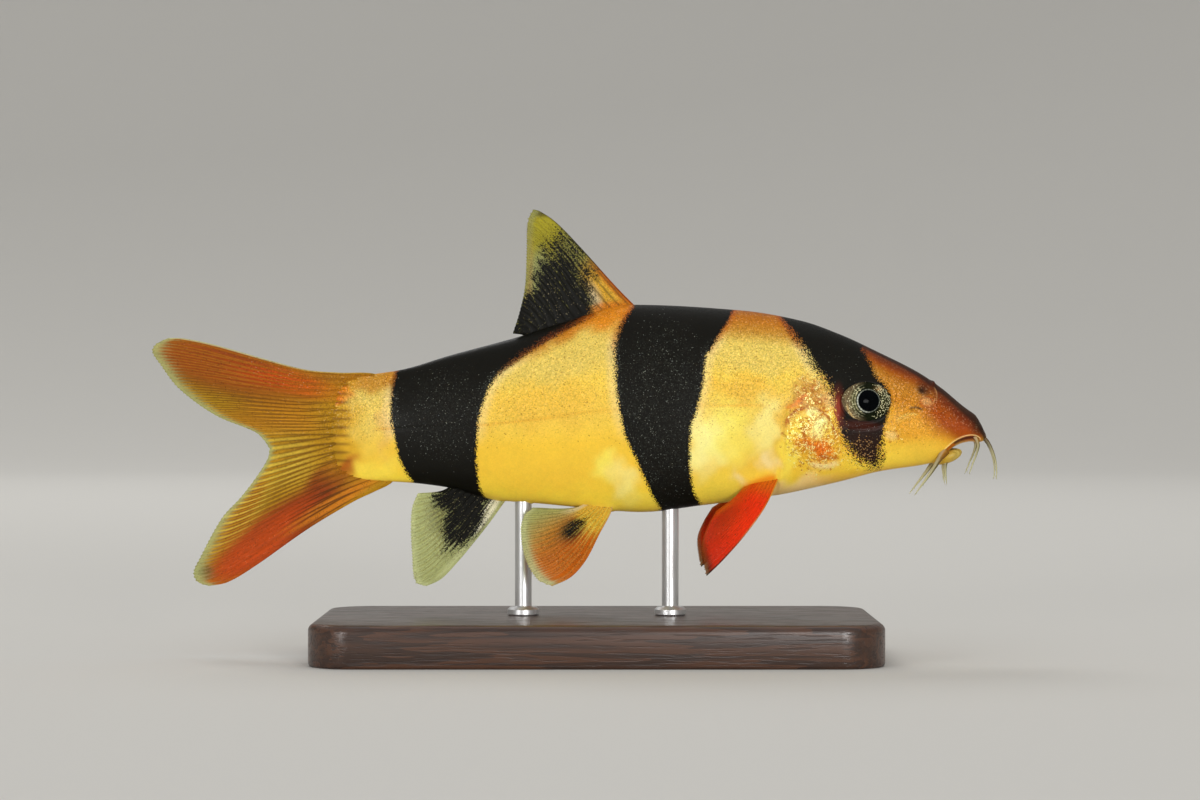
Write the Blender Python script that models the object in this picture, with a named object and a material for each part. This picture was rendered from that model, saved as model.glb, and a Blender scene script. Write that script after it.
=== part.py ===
"""A young clown loach at life size, held over a flat base by two short rods.

The fish swims along +X and keeps its right side towards -Y. A place on it is written (back, height, side):
how far back from the tip of the snout, how far above the long axis, and how far out from the middle plane.
place() turns that into the model's own X, Y and Z. All sizes are millimetres times MM.
"""

import math
from dataclasses import dataclass

import bmesh
import bpy
from mathutils import Matrix, Vector

MM = 0.001
GAP = 0.3 * MM  # left between solids that meet

# Driving sizes of the fish
TOTAL_LENGTH = 90.0 * MM  # snout to the tip of the upper tail lobe
BARBEL_REACH = 1.1 * MM  # how far the front barbels pass the snout
AXIS_HEIGHT = 24.4 * MM  # long axis above the floor
SNOUT_X = (TOTAL_LENGTH - BARBEL_REACH) / 2  # centres the whole length on the origin
SWAY = 1.5 * MM  # how far the tail tip swings to the left
SWAY_FROM = 42.0 * MM  # the swing starts here

# Outline of head and body, as (back, height) or (back, half width)
BACK_LINE = (
    (0.0, -0.75), (0.22, -0.1), (0.65, 0.8), (1.2, 1.65), (1.95, 2.2), (2.8, 2.85), (4.9, 4.6), (7.1, 6.1),
    (11.4, 8.3), (15.7, 10.3), (20.0, 11.8), (26.5, 12.9), (38.1, 13.5), (44.8, 11.7), (51.0, 9.85),
    (57.7, 8.05), (63.0, 6.5), (66.3, 6.0), (68.5, 5.8),
)
BELLY_LINE = (
    (0.0, -0.75), (0.22, -1.1), (0.65, -1.25), (1.7, -1.3), (2.6, -1.45), (3.3, -1.75), (3.9, -2.2),
    (4.6, -2.9), (5.3, -3.35), (6.5, -3.65), (11.4, -4.4), (15.7, -5.5), (22.2, -6.9), (30.8, -8.1),
    (37.2, -8.8), (42.6, -8.4), (49.0, -7.8), (51.8, -7.6), (54.4, -7.0), (57.7, -6.2), (62.0, -5.65),
    (66.3, -5.4), (68.5, -4.8),
)
HALF_WIDTHS = (
    (0.0, 0.0), (0.22, 0.75), (0.65, 1.2), (1.2, 1.5), (1.95, 1.75), (2.8, 1.95), (4.9, 2.4), (7.1, 2.8),
    (11.4, 3.5), (15.7, 4.2), (20.0, 4.9), (26.5, 5.25), (33.0, 5.2), (38.1, 4.9), (44.8, 4.25), (51.0, 3.55),
    (57.7, 2.6), (63.0, 1.8), (66.3, 1.15), (68.5, 0.6),
)
BODY_LENGTH = 68.5  # snout to the root of the tail fin
WAIST_SHARE = 0.46  # the widest level, as a share of the height from the belly up
BACK_POWER = 1.9  # superellipse power above the widest level: 2 is an ellipse
BELLY_POWER = 2.3  # and below it, where the belly is flatter

# Where the body is parted, as (back, curve): the parting bows back by curve times height squared
GILL_OPENING = (22.2, 0.016)
TAIL_PARTING = (58.6, 0.0)
TAIL_FIN_ROOT = (68.5, 0.05)
GILL_FLARE = 0.3  # how far the gill covers stand out from the flank
GILL_FLARE_FROM = 17.5
GILL_MIDDLE, GILL_REACH = -1.0, 6.5  # height of the gill covers' middle, and how far they reach from it

# Eyes
EYE_BACK, EYE_HEIGHT = 13.1, 2.95
EYE_RADII = (2.85, 1.5, 2.28)  # along the fish, outwards, upwards
EYE_SUNK = 0.7  # the eye's middle lies this far under the skin
EYE_TURN = math.radians(9.0)  # the eyes look forwards by the head's taper
ORBIT_RADII = (2.95, 2.42)  # the skin's rim round the eye, along the fish and upwards
ORBIT_RIM = 0.24
ORBIT_SUNK = 0.05  # the rim's own line lies this far under the skin

# Mouth
UPPER_LIP = ((4.7, -2.45, 1.75), (3.8, -2.0, 1.85), (2.8, -1.4, 1.7), (1.8, -1.1, 1.3), (0.95, -1.0, 0.7))
UPPER_LIP_FRONT = (0.75, -0.98, 0.0)
UPPER_LIP_RADIUS = 0.34
LIP_FOLD_RISE = 0.42  # the crease above the upper lip lies this far over the lip's line
LIP_FOLD_RADIUS = 0.13
LOWER_LIP = ((5.0, -2.8, 1.6), (4.1, -2.8, 1.5), (3.4, -2.7, 1.0))
LOWER_LIP_FRONT = (3.05, -2.62, 0.0)
LOWER_LIP_RADIUS = 0.38
JAW_CENTRE = (4.5, -2.75, 0.0)
JAW_RADII = (1.4, 1.6, 0.8)  # along the fish, outwards, upwards

# Nostrils and the slit of the spine under the eye
NOSTRIL_PIT = (6.7, 4.15)
NOSTRIL_RADIUS = 0.34
NOSTRIL_FLAP = (6.75, 3.05)
NOSTRIL_FLAP_RADII = (0.6, 0.42, 0.5)
NOSTRIL_FLAP_SUNK = 0.1
SPINE_SLIT = ((15.6, -0.1), (13.0, -0.1), (10.6, 0.5))
SPINE_SLIT_RADIUS = 0.16
SPINE_SLIT_SWELL = (0.45, 0.75, 0.95, 1.0, 0.95, 0.75, 0.45)

# Barbels: their lines from inside the head to the tip, and their thickness there
BARBEL_ROOT_RADIUS = 0.3
BARBEL_TIP_RADIUS = 0.12
BARBEL_POINTS = 8
BARBELS = {
    "barbel_snout_inner": (
        (1.0, -0.5, 0.3), (0.1, -1.0, 0.5), (-0.5, -2.0, 0.65), (-0.9, -3.3, 0.85), (-0.98, -4.5, 1.0)
    ),
    "barbel_snout_outer": (
        (1.5, -0.2, 0.9), (1.0, -1.5, 1.25), (1.25, -2.6, 1.5), (1.7, -3.5, 1.75), (2.2, -4.3, 1.95)
    ),
    "barbel_mouth_corner": (
        (4.6, -2.2, 1.4), (5.4, -3.3, 2.1), (6.2, -4.5, 2.5), (7.0, -5.6, 2.8), (7.8, -6.75, 3.0)
    ),
    "barbel_lower_lip": ((4.2, -2.7, 0.8), (4.5, -3.7, 0.95), (4.5, -4.4, 1.05), (4.4, -5.1, 1.15)),
}

# Fins: the membrane's thickness at the body and at the free edge, and the rays that stand up on both its faces
FIN_THICKNESS = 0.55
FIN_EDGE_THICKNESS = 0.36
FIN_ROOT_SWELL = 0.2  # more at the very root, where the fin is fleshy
FIN_ROOT_SHARE = 0.25
FIN_ROWS = (0.0, 0.16, 0.36, 0.56, 0.76, 0.9, 1.0)  # rows of points from the root to the margin
FIN_NOTCH = 0.025  # the membrane ends this share of its length short of the rays' tips
RAY_LIFT, RAY_TIP_LIFT = 0.17, 0.08
RAY_CREST, RAY_FOOT = 0.09, 0.15  # crest's half width and the slope beside it, as shares of the rays' spacing
RAY_EDGE = 0.3  # the outer rays stand this share of the spacing inside the fin's edges, which are rounded off
EDGE_SHARE = 0.4  # thickness left at those edges
FORK_START, FORK_END = 0.45, 0.7  # a branched ray parts in two between these shares of its length
FORK_SPREAD = 0.13

# Stand
BASE_SIZE = (60.0, 34.0, 4.5)
BASE_CORNER_RADIUS = 5.0
BASE_EDGE_RADIUS = 0.8
ROD_RADIUS = 0.9
ROD_FRONT_BACK, ROD_REAR_BACK = 34.0, 49.8
ROD_SINK = 2.0  # the rods run this far up inside the belly before they are trimmed to it


def smooth(points, at):
    """Value at `at` of a curve through (place, value) points that doesn't overshoot them."""
    places = [p[0] for p in points]
    values = [p[1] for p in points]
    last = len(points) - 2
    at = min(max(at, places[0]), places[-1])
    k = max(i for i in range(last + 1) if i == 0 or places[i] <= at)
    slopes = [(values[i + 1] - values[i]) / (places[i + 1] - places[i]) for i in range(last + 1)]

    def tangent(i):
        if i in (0, last + 1):
            return slopes[min(i, last)]
        before, after = slopes[i - 1], slopes[i]
        return 0.0 if before * after <= 0 else 2 * before * after / (before + after)

    span = places[k + 1] - places[k]
    t = (at - places[k]) / span
    rise = values[k + 1] - values[k]
    start, end = tangent(k) * span, tangent(k + 1) * span
    return values[k] + t * (start + t * (3 * rise - 2 * start - end + t * (start + end - 2 * rise)))


def profile(points, back):
    """A body outline at `back`. It runs on the root of the distance, which makes the snout round."""
    return smooth([(math.sqrt(place), value) for place, value in points], math.sqrt(max(back, 0.0)))


def along(points, share):
    """Point at `share` of the length of a smooth curve through points in space."""
    points = [Vector(p) for p in points]
    runs = [0.0]
    for a, b in zip(points, points[1:]):
        runs.append(runs[-1] + (b - a).length)
    at = share * runs[-1]
    k = max(i for i in range(len(points) - 1) if runs[i] <= at or i == 0)

    def tangent(i):
        low, high = max(i - 1, 0), min(i + 1, len(points) - 1)
        return (points[high] - points[low]) / (runs[high] - runs[low])

    span = runs[k + 1] - runs[k]
    t = (at - runs[k]) / span
    rise = points[k + 1] - points[k]
    start, end = tangent(k) * span, tangent(k + 1) * span
    return points[k] + t * (start + t * (3 * rise - 2 * start - end + t * (start + end - 2 * rise)))


def place(back, height, side=0.0):
    """The model's own X, Y and Z of a place on the fish, given in millimetres."""
    swung = max(back * MM - SWAY_FROM, 0.0) / (TOTAL_LENGTH - SWAY_FROM)
    return Vector((SNOUT_X - back * MM, side * MM + SWAY * swung**2, AXIS_HEIGHT + height * MM))


def section(back, grow=0.0):
    """Top, bottom, widest level and half width of the body at `back`."""
    top = profile(BACK_LINE, back) + grow
    bottom = profile(BELLY_LINE, back) - grow
    return top, bottom, bottom + WAIST_SHARE * (top - bottom), profile(HALF_WIDTHS, back) + grow


def gill_flare(back, height):
    """How far the gill cover stands out from the flank at a place on the head."""
    reach = max(back - GILL_FLARE_FROM, 0.0) / (GILL_OPENING[0] - GILL_FLARE_FROM)
    return GILL_FLARE * min(reach, 1.0) ** 2 * max(1.0 - ((height - GILL_MIDDLE) / GILL_REACH) ** 2, 0.0)


def on_section(back, turn, grow=0.0):
    """(height, side) of the body's surface at `back`, turned from the left side over the back."""
    top, bottom, waist, half = section(back, grow)
    across, up = math.cos(turn), math.sin(turn)
    power = 2 / (BACK_POWER if up >= 0 else BELLY_POWER)
    reach = top - waist if up >= 0 else waist - bottom
    height = waist + math.copysign(reach * abs(up) ** power, up)
    return height, math.copysign(half * abs(across) ** power, across)


def flank(back, height, grow=0.0):
    """How far out the flank lies at a place on the side of the fish."""
    top, bottom, waist, half = section(back, grow)
    up = height >= waist
    power = BACK_POWER if up else BELLY_POWER
    reach = top - waist if up else waist - bottom
    return half * max(1 - abs((height - waist) / reach) ** power, 0.0) ** (1 / power)


def add_mesh(name, points, faces, collection):
    """An object of these points and faces, its faces turned outwards."""
    mesh = bpy.data.meshes.new(name)
    mesh.from_pydata([tuple(p) for p in points], [], faces)
    form = bmesh.new()
    form.from_mesh(mesh)
    bmesh.ops.recalc_face_normals(form, faces=form.faces)
    form.to_mesh(mesh)
    form.free()
    made = bpy.data.objects.new(name, mesh)
    collection.objects.link(made)
    return made


def body_length(name, front, rear, rings, around, collection, grow=0.0, flare=False):
    """A closed length of the body between two partings, or from the snout where front is None.

    A ring lies on each station. Towards a parting the rings bow, so that the end face follows its curve.
    """
    start, start_curve = front or (0.0, 0.0)
    end, end_curve = rear
    stretch = (BODY_LENGTH + 2 * grow) / BODY_LENGTH
    points, faces = [], []
    for i in range(0 if front else 1, rings + 1):
        share = i / rings
        station = start + (end - start) * (share if front else share**1.5)
        for k in range(around):
            turn = 2 * math.pi * (k + 0.5) / around
            height, _ = on_section(station, turn)
            bow = start_curve * (1 - share) ** 3 + end_curve * share**3
            back = station - bow * height**2
            height, side = on_section(back, turn, grow)
            if flare:
                side += math.copysign(gill_flare(station, height), side)
            points.append(place(back * stretch - grow, height, side))
    count = len(points) // around
    for i in range(count - 1):
        for k in range(around):
            a, b = i * around + k, i * around + (k + 1) % around
            faces.append((a, b, b + around, a + around))

    def close(ring):
        """Fills a ring with level strips from one side to the other."""
        first = ring * around
        top = around // 4
        for step in range(around // 2 - 1):
            right, left = top + step, (top - 1 - step) % around
            corners = (right, (right + 1) % around, (left - 1) % around, left)
            faces.append(tuple(first + corner for corner in corners))

    if front:
        close(0)
    else:
        tip = len(points)
        points.append(place(-grow, BACK_LINE[0][1]))
        faces.extend((k, (k + 1) % around, tip) for k in range(around))
    close(count - 1)
    return add_mesh(name, points, faces, collection)


def tube(name, points, radii, collection, closed=False, roundness=2):
    """A tapering tube along places on the fish, as a closed mesh."""
    curve = bpy.data.curves.new(name, "CURVE")
    curve.dimensions = "3D"
    curve.bevel_depth = MM
    curve.bevel_resolution = roundness
    curve.use_fill_caps = not closed
    line = curve.splines.new("POLY")
    line.points.add(len(points) - 1)
    line.use_cyclic_u = closed
    for spot, at, radius in zip(line.points, points, radii):
        spot.co = (*place(*at), 1.0)
        spot.radius = radius
    drawn = bpy.data.objects.new(name, curve)
    collection.objects.link(drawn)
    made = as_mesh(drawn)
    form = bmesh.new()
    form.from_mesh(made.data)
    bmesh.ops.remove_doubles(form, verts=form.verts, dist=1e-6)
    bmesh.ops.recalc_face_normals(form, faces=form.faces)
    form.to_mesh(made.data)
    form.free()
    return made


def as_mesh(obj):
    """Replaces an object by a mesh of what it shows, with its modifiers applied."""
    bpy.context.view_layer.update()
    graph = bpy.context.evaluated_depsgraph_get()
    mesh = bpy.data.meshes.new_from_object(obj.evaluated_get(graph))
    name, collection = obj.name, obj.users_collection[0]
    matrix = obj.matrix_world.copy()
    bpy.data.objects.remove(obj)
    made = bpy.data.objects.new(name, mesh)
    made.matrix_world = matrix
    collection.objects.link(made)
    return made


def ellipsoid(name, centre, radii, collection, segments=20, rings=12, turn=0.0):
    """An ellipsoid at a place on the fish, with radii along, out and up, turned about the upright."""
    form = bmesh.new()
    bmesh.ops.create_uvsphere(form, u_segments=segments, v_segments=rings, radius=1.0)
    bmesh.ops.scale(form, vec=Vector(radii) * MM, verts=form.verts)
    bmesh.ops.rotate(form, matrix=Matrix.Rotation(turn, 3, "Z"), verts=form.verts)
    bmesh.ops.translate(form, vec=place(*centre), verts=form.verts)
    mesh = bpy.data.meshes.new(name)
    form.to_mesh(mesh)
    form.free()
    made = bpy.data.objects.new(name, mesh)
    collection.objects.link(made)
    return made


def combine(target, operation, pieces):
    """Joins pieces to a solid or cuts them from it, removes them, and keeps the largest closed surface."""
    name = f"{target.name}_{operation.lower()}"
    group = bpy.data.collections.new(name)
    bpy.context.scene.collection.children.link(group)
    for piece in pieces:
        for used in piece.users_collection:
            used.objects.unlink(piece)
        group.objects.link(piece)
    step = target.modifiers.new(name, "BOOLEAN")
    step.operation = operation
    step.operand_type = "COLLECTION"
    step.collection = group
    step.solver = "EXACT"
    made = as_mesh(target)
    for piece in pieces:
        bpy.data.objects.remove(piece)
    bpy.data.collections.remove(group)
    return keep_largest(made)


def keep_largest(obj):
    """Drops every loose scrap of a mesh but its largest part."""
    form = bmesh.new()
    form.from_mesh(obj.data)
    left, parts = set(form.verts), []
    while left:
        part, edge = set(), [left.pop()]
        while edge:
            vert = edge.pop()
            part.add(vert)
            for link in vert.link_edges:
                other = link.other_vert(vert)
                if other in left:
                    left.discard(other)
                    edge.append(other)
        parts.append(part)
    parts.sort(key=len)
    bmesh.ops.delete(form, geom=[vert for part in parts[:-1] for vert in part], context="VERTS")
    form.to_mesh(obj.data)
    form.free()
    return obj


def mirrored(points, front):
    """A line from the left corner round the front to the right corner."""
    left = list(points)
    right = [(back, height, -side) for back, height, side in reversed(points)]
    return [*left, front, *right]


def resample(points, count):
    """`count` points spread evenly along a smooth curve."""
    return [tuple(along(points, i / (count - 1))) for i in range(count)]


def eyeball(name, side, collection, grow=0.0):
    """The eye on one side, sunk in the flank and turned with the head's taper."""
    centre = (EYE_BACK, EYE_HEIGHT, side * (flank(EYE_BACK, EYE_HEIGHT) - EYE_SUNK))
    return ellipsoid(name, centre, [r + grow for r in EYE_RADII], collection, 20, 10, turn=-side * EYE_TURN)


def head_additions(collection, grow=0.0):
    """Lips, lower jaw, eye rims and nostril flaps, as closed pieces to join to the head."""
    lip = resample(mirrored(UPPER_LIP, UPPER_LIP_FRONT), 13)
    lower = resample(mirrored(LOWER_LIP, LOWER_LIP_FRONT), 11)
    made = [
        tube("upper_lip", lip, [UPPER_LIP_RADIUS + grow] * len(lip), collection),
        tube("lower_lip", lower, [LOWER_LIP_RADIUS + grow] * len(lower), collection),
        ellipsoid("jaw", JAW_CENTRE, [r + grow for r in JAW_RADII], collection, 16, 8),
    ]
    for side in (-1, 1):
        rim = []
        for k in range(16):
            turn = 2 * math.pi * k / 16
            back = EYE_BACK + ORBIT_RADII[0] * math.cos(turn)
            height = EYE_HEIGHT + ORBIT_RADII[1] * math.sin(turn)
            rim.append((back, height, side * (flank(back, height) - ORBIT_SUNK)))
        made.append(tube("orbit_rim", rim, [ORBIT_RIM + grow] * len(rim), collection, closed=True, roundness=1))
        back, height = NOSTRIL_FLAP
        centre = (back, height, side * (flank(back, height) - NOSTRIL_FLAP_SUNK))
        radii = [r + grow for r in NOSTRIL_FLAP_RADII]
        made.append(ellipsoid("nostril_flap", centre, radii, collection, 10, 6))
    return made


def head_cutters(collection):
    """Eye sockets, nostril pits, the slits under the eyes and the creases over the upper lip."""
    made = []
    for side in (-1, 1):
        made.append(eyeball("socket", side, collection, grow=GAP / MM))
        back, height = NOSTRIL_PIT
        pit = (back, height, side * flank(back, height))
        made.append(ellipsoid("pit", pit, [NOSTRIL_RADIUS] * 3, collection, 10, 6))
        slit = [(b, h, side * flank(b, h)) for b, h, _ in resample([(*p, 0.0) for p in SPINE_SLIT], 7)]
        radii = [SPINE_SLIT_RADIUS * share for share in SPINE_SLIT_SWELL]
        made.append(tube("slit", slit, radii, collection, roundness=1))
        line = [(b, h + LIP_FOLD_RISE) for b, h, _ in resample(UPPER_LIP, 9)]
        fold = [(b, h, side * flank(b, h)) for b, h in line]
        made.append(tube("fold", fold, [LIP_FOLD_RADIUS] * len(fold), collection, roundness=1))
    return made


def make_head(collection):
    """Head from the snout to the gill openings."""
    head = body_length("head", None, GILL_OPENING, 20, 32, collection, flare=True)
    head = combine(head, "UNION", head_additions(collection))
    return combine(head, "DIFFERENCE", head_cutters(collection))


def make_trunk(collection):
    """Trunk from the gill openings to behind the anal fin."""
    front = (GILL_OPENING[0] + GAP / MM, GILL_OPENING[1])
    return body_length("trunk", front, TAIL_PARTING, 18, 28, collection)


def make_tail_stem(collection):
    """Tail stem from behind the anal fin to the root of the tail fin."""
    front = (TAIL_PARTING[0] + GAP / MM, TAIL_PARTING[1])
    return body_length("tail_stem", front, TAIL_FIN_ROOT, 7, 24, collection)


def envelope(collection):
    """Head and body grown by the gap, which trims whatever grows from them."""
    grown = body_length("envelope", None, TAIL_FIN_ROOT, 56, 36, collection, grow=GAP / MM)
    return combine(grown, "UNION", head_additions(collection, grow=GAP / MM))


def trimmed(obj, around):
    """Cuts away what lies inside the grown body, so that the two faces meet with the gap between them."""
    cut = obj.modifiers.new("trim", "BOOLEAN")
    cut.operation = "DIFFERENCE"
    cut.object = around
    return keep_largest(as_mesh(obj))


@dataclass(frozen=True)
class Fin:
    """A fin, by the four lines that bound it, as (back, height, side) places on the fish.

    lead is the front edge from the root to the tip, margin the free edge from there to the last ray's tip,
    trail the last ray from the root to its tip, and root the line inside the body. plain_rays of the rays, the
    front ones, don't branch. crowding over 1 draws the front rays' tips together at the fin's tip.
    """

    name: str
    lead: tuple
    margin: tuple
    trail: tuple
    root: tuple
    rays: int
    plain_rays: int
    crowding: float

    def at(self, across, out):
        """Place at `across`, 0 at the front edge and 1 at the last ray, and `out`, 0 at the root and 1 at the tip."""
        lead, trail = along(self.lead, out), along(self.trail, out)
        root, margin = along(self.root, across), along(self.margin, across**self.crowding)
        corners = (
            (1 - across) * (1 - out) * Vector(self.lead[0])
            + across * (1 - out) * Vector(self.trail[0])
            + (1 - across) * out * Vector(self.lead[-1])
            + across * out * Vector(self.trail[-1])
        )
        return (1 - across) * lead + across * trail + (1 - out) * root + out * margin - corners

    def normal(self, across, out, step=0.01):
        """Direction square to the fin's face at a place on it."""
        over = self.at(min(across + step, 1.0), out) - self.at(max(across - step, 0.0), out)
        down = self.at(across, min(out + step, 1.0)) - self.at(across, max(out - step, 0.0))
        return over.cross(down).normalized()

    def columns(self):
        """Columns of points across the fin, as (ray, step).

        Steps -2 and 2 are a ray's feet, those between are its crest, and -3 and 3 are the fin's own edges.
        """
        made = [(0, -3)]
        for ray in range(self.rays):
            steps = (-2, 0, 2) if ray < self.plain_rays else (-2, -1, 0, 1, 2)
            made += [(ray, step) for step in steps]
        made.remove((0, -2))
        made[-1] = (self.rays - 1, 3)
        return made

    def column_place(self, ray, step, out):
        """(across, half) of a column at `out`: where it lies, and half the fin's thickness there."""
        flat = fin_thickness(out) / 2
        if abs(step) == 3:
            return (0.0 if step < 0 else 1.0), flat * EDGE_SHARE
        parted = 0.0
        if ray >= self.plain_rays:
            parted = min(max((out - FORK_START) / (FORK_END - FORK_START), 0.0), 1.0)
        crest = RAY_CREST + FORK_SPREAD * parted
        offset = {0: 0.0, 1: crest, 2: crest + RAY_FOOT}[abs(step)]
        share = {0: 1.0 - parted, 1: 1.0, 2: 0.0}[abs(step)]
        across = (RAY_EDGE + ray + math.copysign(offset, step)) / (2 * RAY_EDGE + self.rays - 1)
        return across, flat + share * (RAY_LIFT + (RAY_TIP_LIFT - RAY_LIFT) * out)


FINS = (
    Fin(
        "dorsal_fin",
        lead=(
            (36.9, 12.6, 0), (38.0, 13.6, 0), (40.0, 15.65, 0), (43.3, 19.3, 0), (46.2, 22.3, 0),
            (48.0, 23.55, 0), (48.9, 23.8, 0),
        ),
        margin=(
            (48.9, 23.8, 0), (49.4, 22.7, 0), (49.5, 19.0, 0), (49.65, 15.5, 0), (50.2, 12.8, 0), (50.95, 10.4, 0)
        ),
        trail=((48.9, 9.3, 0), (49.8, 10.2, 0), (50.95, 10.4, 0)),
        root=((36.9, 12.6, 0), (43.0, 11.3, 0), (48.9, 9.3, 0)),
        rays=11,
        plain_rays=3,
        crowding=1.6,
    ),
    Fin(
        "anal_fin",
        lead=(
            (51.2, -6.9, 0), (51.95, -7.9, 0), (53.5, -10.05, 0), (55.4, -12.45, 0), (57.1, -14.45, 0),
            (58.7, -16.05, 0), (60.4, -16.85, 0),
        ),
        margin=(
            (60.4, -16.85, 0), (61.5, -16.4, 0), (61.85, -13.2, 0), (61.95, -10.5, 0), (61.8, -8.3, 0),
            (61.2, -6.8, 0),
        ),
        trail=((56.9, -5.5, 0), (58.6, -6.5, 0), (61.2, -6.8, 0)),
        root=((51.2, -6.9, 0), (54.0, -6.3, 0), (56.9, -5.5, 0)),
        rays=8,
        plain_rays=2,
        crowding=1.3,
    ),
    Fin(
        "pelvic_fin",
        lead=(
            (40.0, -7.6, 1.4), (40.4, -8.85, 1.9), (41.55, -10.95, 2.9), (43.05, -13.8, 4.1), (44.65, -15.55, 4.9),
            (46.75, -16.55, 5.3),
        ),
        margin=(
            (46.75, -16.55, 5.3), (48.2, -15.85, 5.2), (49.5, -13.75, 4.7), (50.05, -10.6, 3.6), (49.6, -8.95, 2.8),
            (48.9, -8.4, 2.5),
        ),
        trail=((42.2, -7.4, 1.1), (44.5, -8.4, 1.7), (48.9, -8.4, 2.5)),
        root=((40.0, -7.6, 1.4), (41.1, -7.5, 1.25), (42.2, -7.4, 1.1)),
        rays=8,
        plain_rays=1,
        crowding=1.0,
    ),
    Fin(
        "pectoral_fin",
        lead=(
            (22.3, -4.7, 2.6), (22.7, -5.6, 3.8), (24.3, -8.4, 6.3), (26.4, -11.1, 8.0), (28.8, -13.7, 9.1),
            (30.5, -15.3, 9.5),
        ),
        margin=(
            (30.5, -15.3, 9.5), (30.75, -13.75, 8.8), (30.9, -12.5, 8.1), (30.8, -11.5, 7.6), (30.15, -9.95, 6.8),
            (29.3, -8.5, 6.0),
        ),
        trail=((25.6, -4.8, 2.8), (26.7, -6.3, 4.6), (28.0, -7.4, 5.3), (29.3, -8.5, 6.0)),
        root=((22.3, -4.7, 2.6), (24.0, -4.5, 2.8), (25.6, -4.8, 2.8)),
        rays=10,
        plain_rays=1,
        crowding=1.0,
    ),
    Fin(
        "tail_fin_upper",
        lead=(
            (64.8, 5.3, 0), (65.9, 6.1, 0), (69.5, 6.2, 0), (73.1, 6.5, 0), (77.4, 7.6, 0), (83.1, 9.2, 0),
            (86.5, 9.9, 0), (88.3, 9.95, 0),
        ),
        margin=(
            (88.3, 9.95, 0), (89.6, 9.3, 0), (90.0, 8.5, 0), (89.2, 7.2, 0), (87.1, 4.5, 0), (83.1, 1.6, 0),
            (78.8, -0.2, 0), (77.8, -1.1, 0), (77.2, -1.85, 0),
        ),
        trail=((67.7, -0.43, 0), (72.5, -1.15, 0), (77.2, -1.85, 0)),
        root=((64.8, 5.3, 0), (67.1, 3.2, 0), (67.7, -0.43, 0)),
        rays=10,
        plain_rays=1,
        crowding=1.15,
    ),
    Fin(
        "tail_fin_lower",
        lead=(
            (63.4, -4.9, 0), (64.1, -5.75, 0), (65.9, -6.65, 0), (68.1, -7.7, 0), (73.1, -10.7, 0), (78.8, -14.7, 0),
            (81.7, -16.4, 0), (83.9, -16.85, 0),
        ),
        margin=(
            (83.9, -16.85, 0), (85.1, -16.4, 0), (85.5, -15.4, 0), (84.9, -14.0, 0), (82.4, -9.5, 0), (80.3, -7.2, 0),
            (78.5, -4.85, 0), (77.4, -3.05, 0), (77.2, -2.2, 0),
        ),
        trail=((67.7, -0.78, 0), (72.5, -1.5, 0), (77.2, -2.2, 0)),
        root=((63.4, -4.9, 0), (66.9, -3.6, 0), (67.7, -0.78, 0)),
        rays=9,
        plain_rays=1,
        crowding=1.15,
    ),
)


def fin_thickness(out):
    """Thickness of a fin's membrane, fleshy at the root and thin at the margin."""
    swell = FIN_ROOT_SWELL * max(1.0 - out / FIN_ROOT_SHARE, 0.0) ** 2
    return FIN_THICKNESS + (FIN_EDGE_THICKNESS - FIN_THICKNESS) * out + swell


def make_fin(fin, name, side, collection):
    """One fin with its rays raised in both faces. side is -1 for a right fin, and 1 for a left or middle one.

    Both faces are split into triangles alike, so that they can't cross where the fin curves.
    """
    columns = fin.columns()
    near, far = [], []
    for ray, step in columns:
        for row in FIN_ROWS:
            out = row * (1 - FIN_NOTCH) if abs(step) == 2 else row
            across, half = fin.column_place(ray, step, out)
            for points, way in ((near, half), (far, -half)):
                back, height, out_side = fin.at(across, out) + fin.normal(across, out) * way
                points.append(place(back, height, side * out_side))
    wide, deep = len(columns), len(FIN_ROWS)
    faces = []
    for i in range(wide - 1):
        for j in range(deep - 1):
            a, b, under = i * deep + j, (i + 1) * deep + j, wide * deep
            for first in (0, under):
                faces += [(first + a, first + b, first + b + 1), (first + a, first + b + 1, first + a + 1)]
    rim = [i * deep for i in range(wide)] + [(wide - 1) * deep + j for j in range(1, deep)]
    rim += [i * deep + deep - 1 for i in reversed(range(wide - 1))] + list(reversed(range(1, deep - 1)))
    for a, b in zip(rim, rim[1:] + rim[:1]):
        faces += [(a, under + a, under + b), (a, under + b, b)]
    return add_mesh(name, near + far, faces, collection)


def make_base(collection):
    """Flat base with rounded corners, centred under the two rods."""
    form = bmesh.new()
    bmesh.ops.create_cube(form, size=1.0)
    bmesh.ops.scale(form, vec=Vector(BASE_SIZE) * MM, verts=form.verts)
    upright = [e for e in form.edges if abs(e.verts[0].co.z - e.verts[1].co.z) > MM]
    bmesh.ops.bevel(
        form, geom=upright, offset=BASE_CORNER_RADIUS * MM, segments=6, profile=0.5, affect="EDGES"
    )
    top = [e for e in form.edges if all(v.co.z > 0 for v in e.verts)]
    bmesh.ops.bevel(form, geom=top, offset=BASE_EDGE_RADIUS * MM, segments=3, profile=0.5, affect="EDGES")
    mesh = bpy.data.meshes.new("stand_base")
    form.to_mesh(mesh)
    form.free()
    base = bpy.data.objects.new("stand_base", mesh)
    middle = (place(ROD_FRONT_BACK, 0) + place(ROD_REAR_BACK, 0)) / 2
    base.location = (middle.x, 0.0, BASE_SIZE[2] * MM / 2)
    collection.objects.link(base)
    return base


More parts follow.
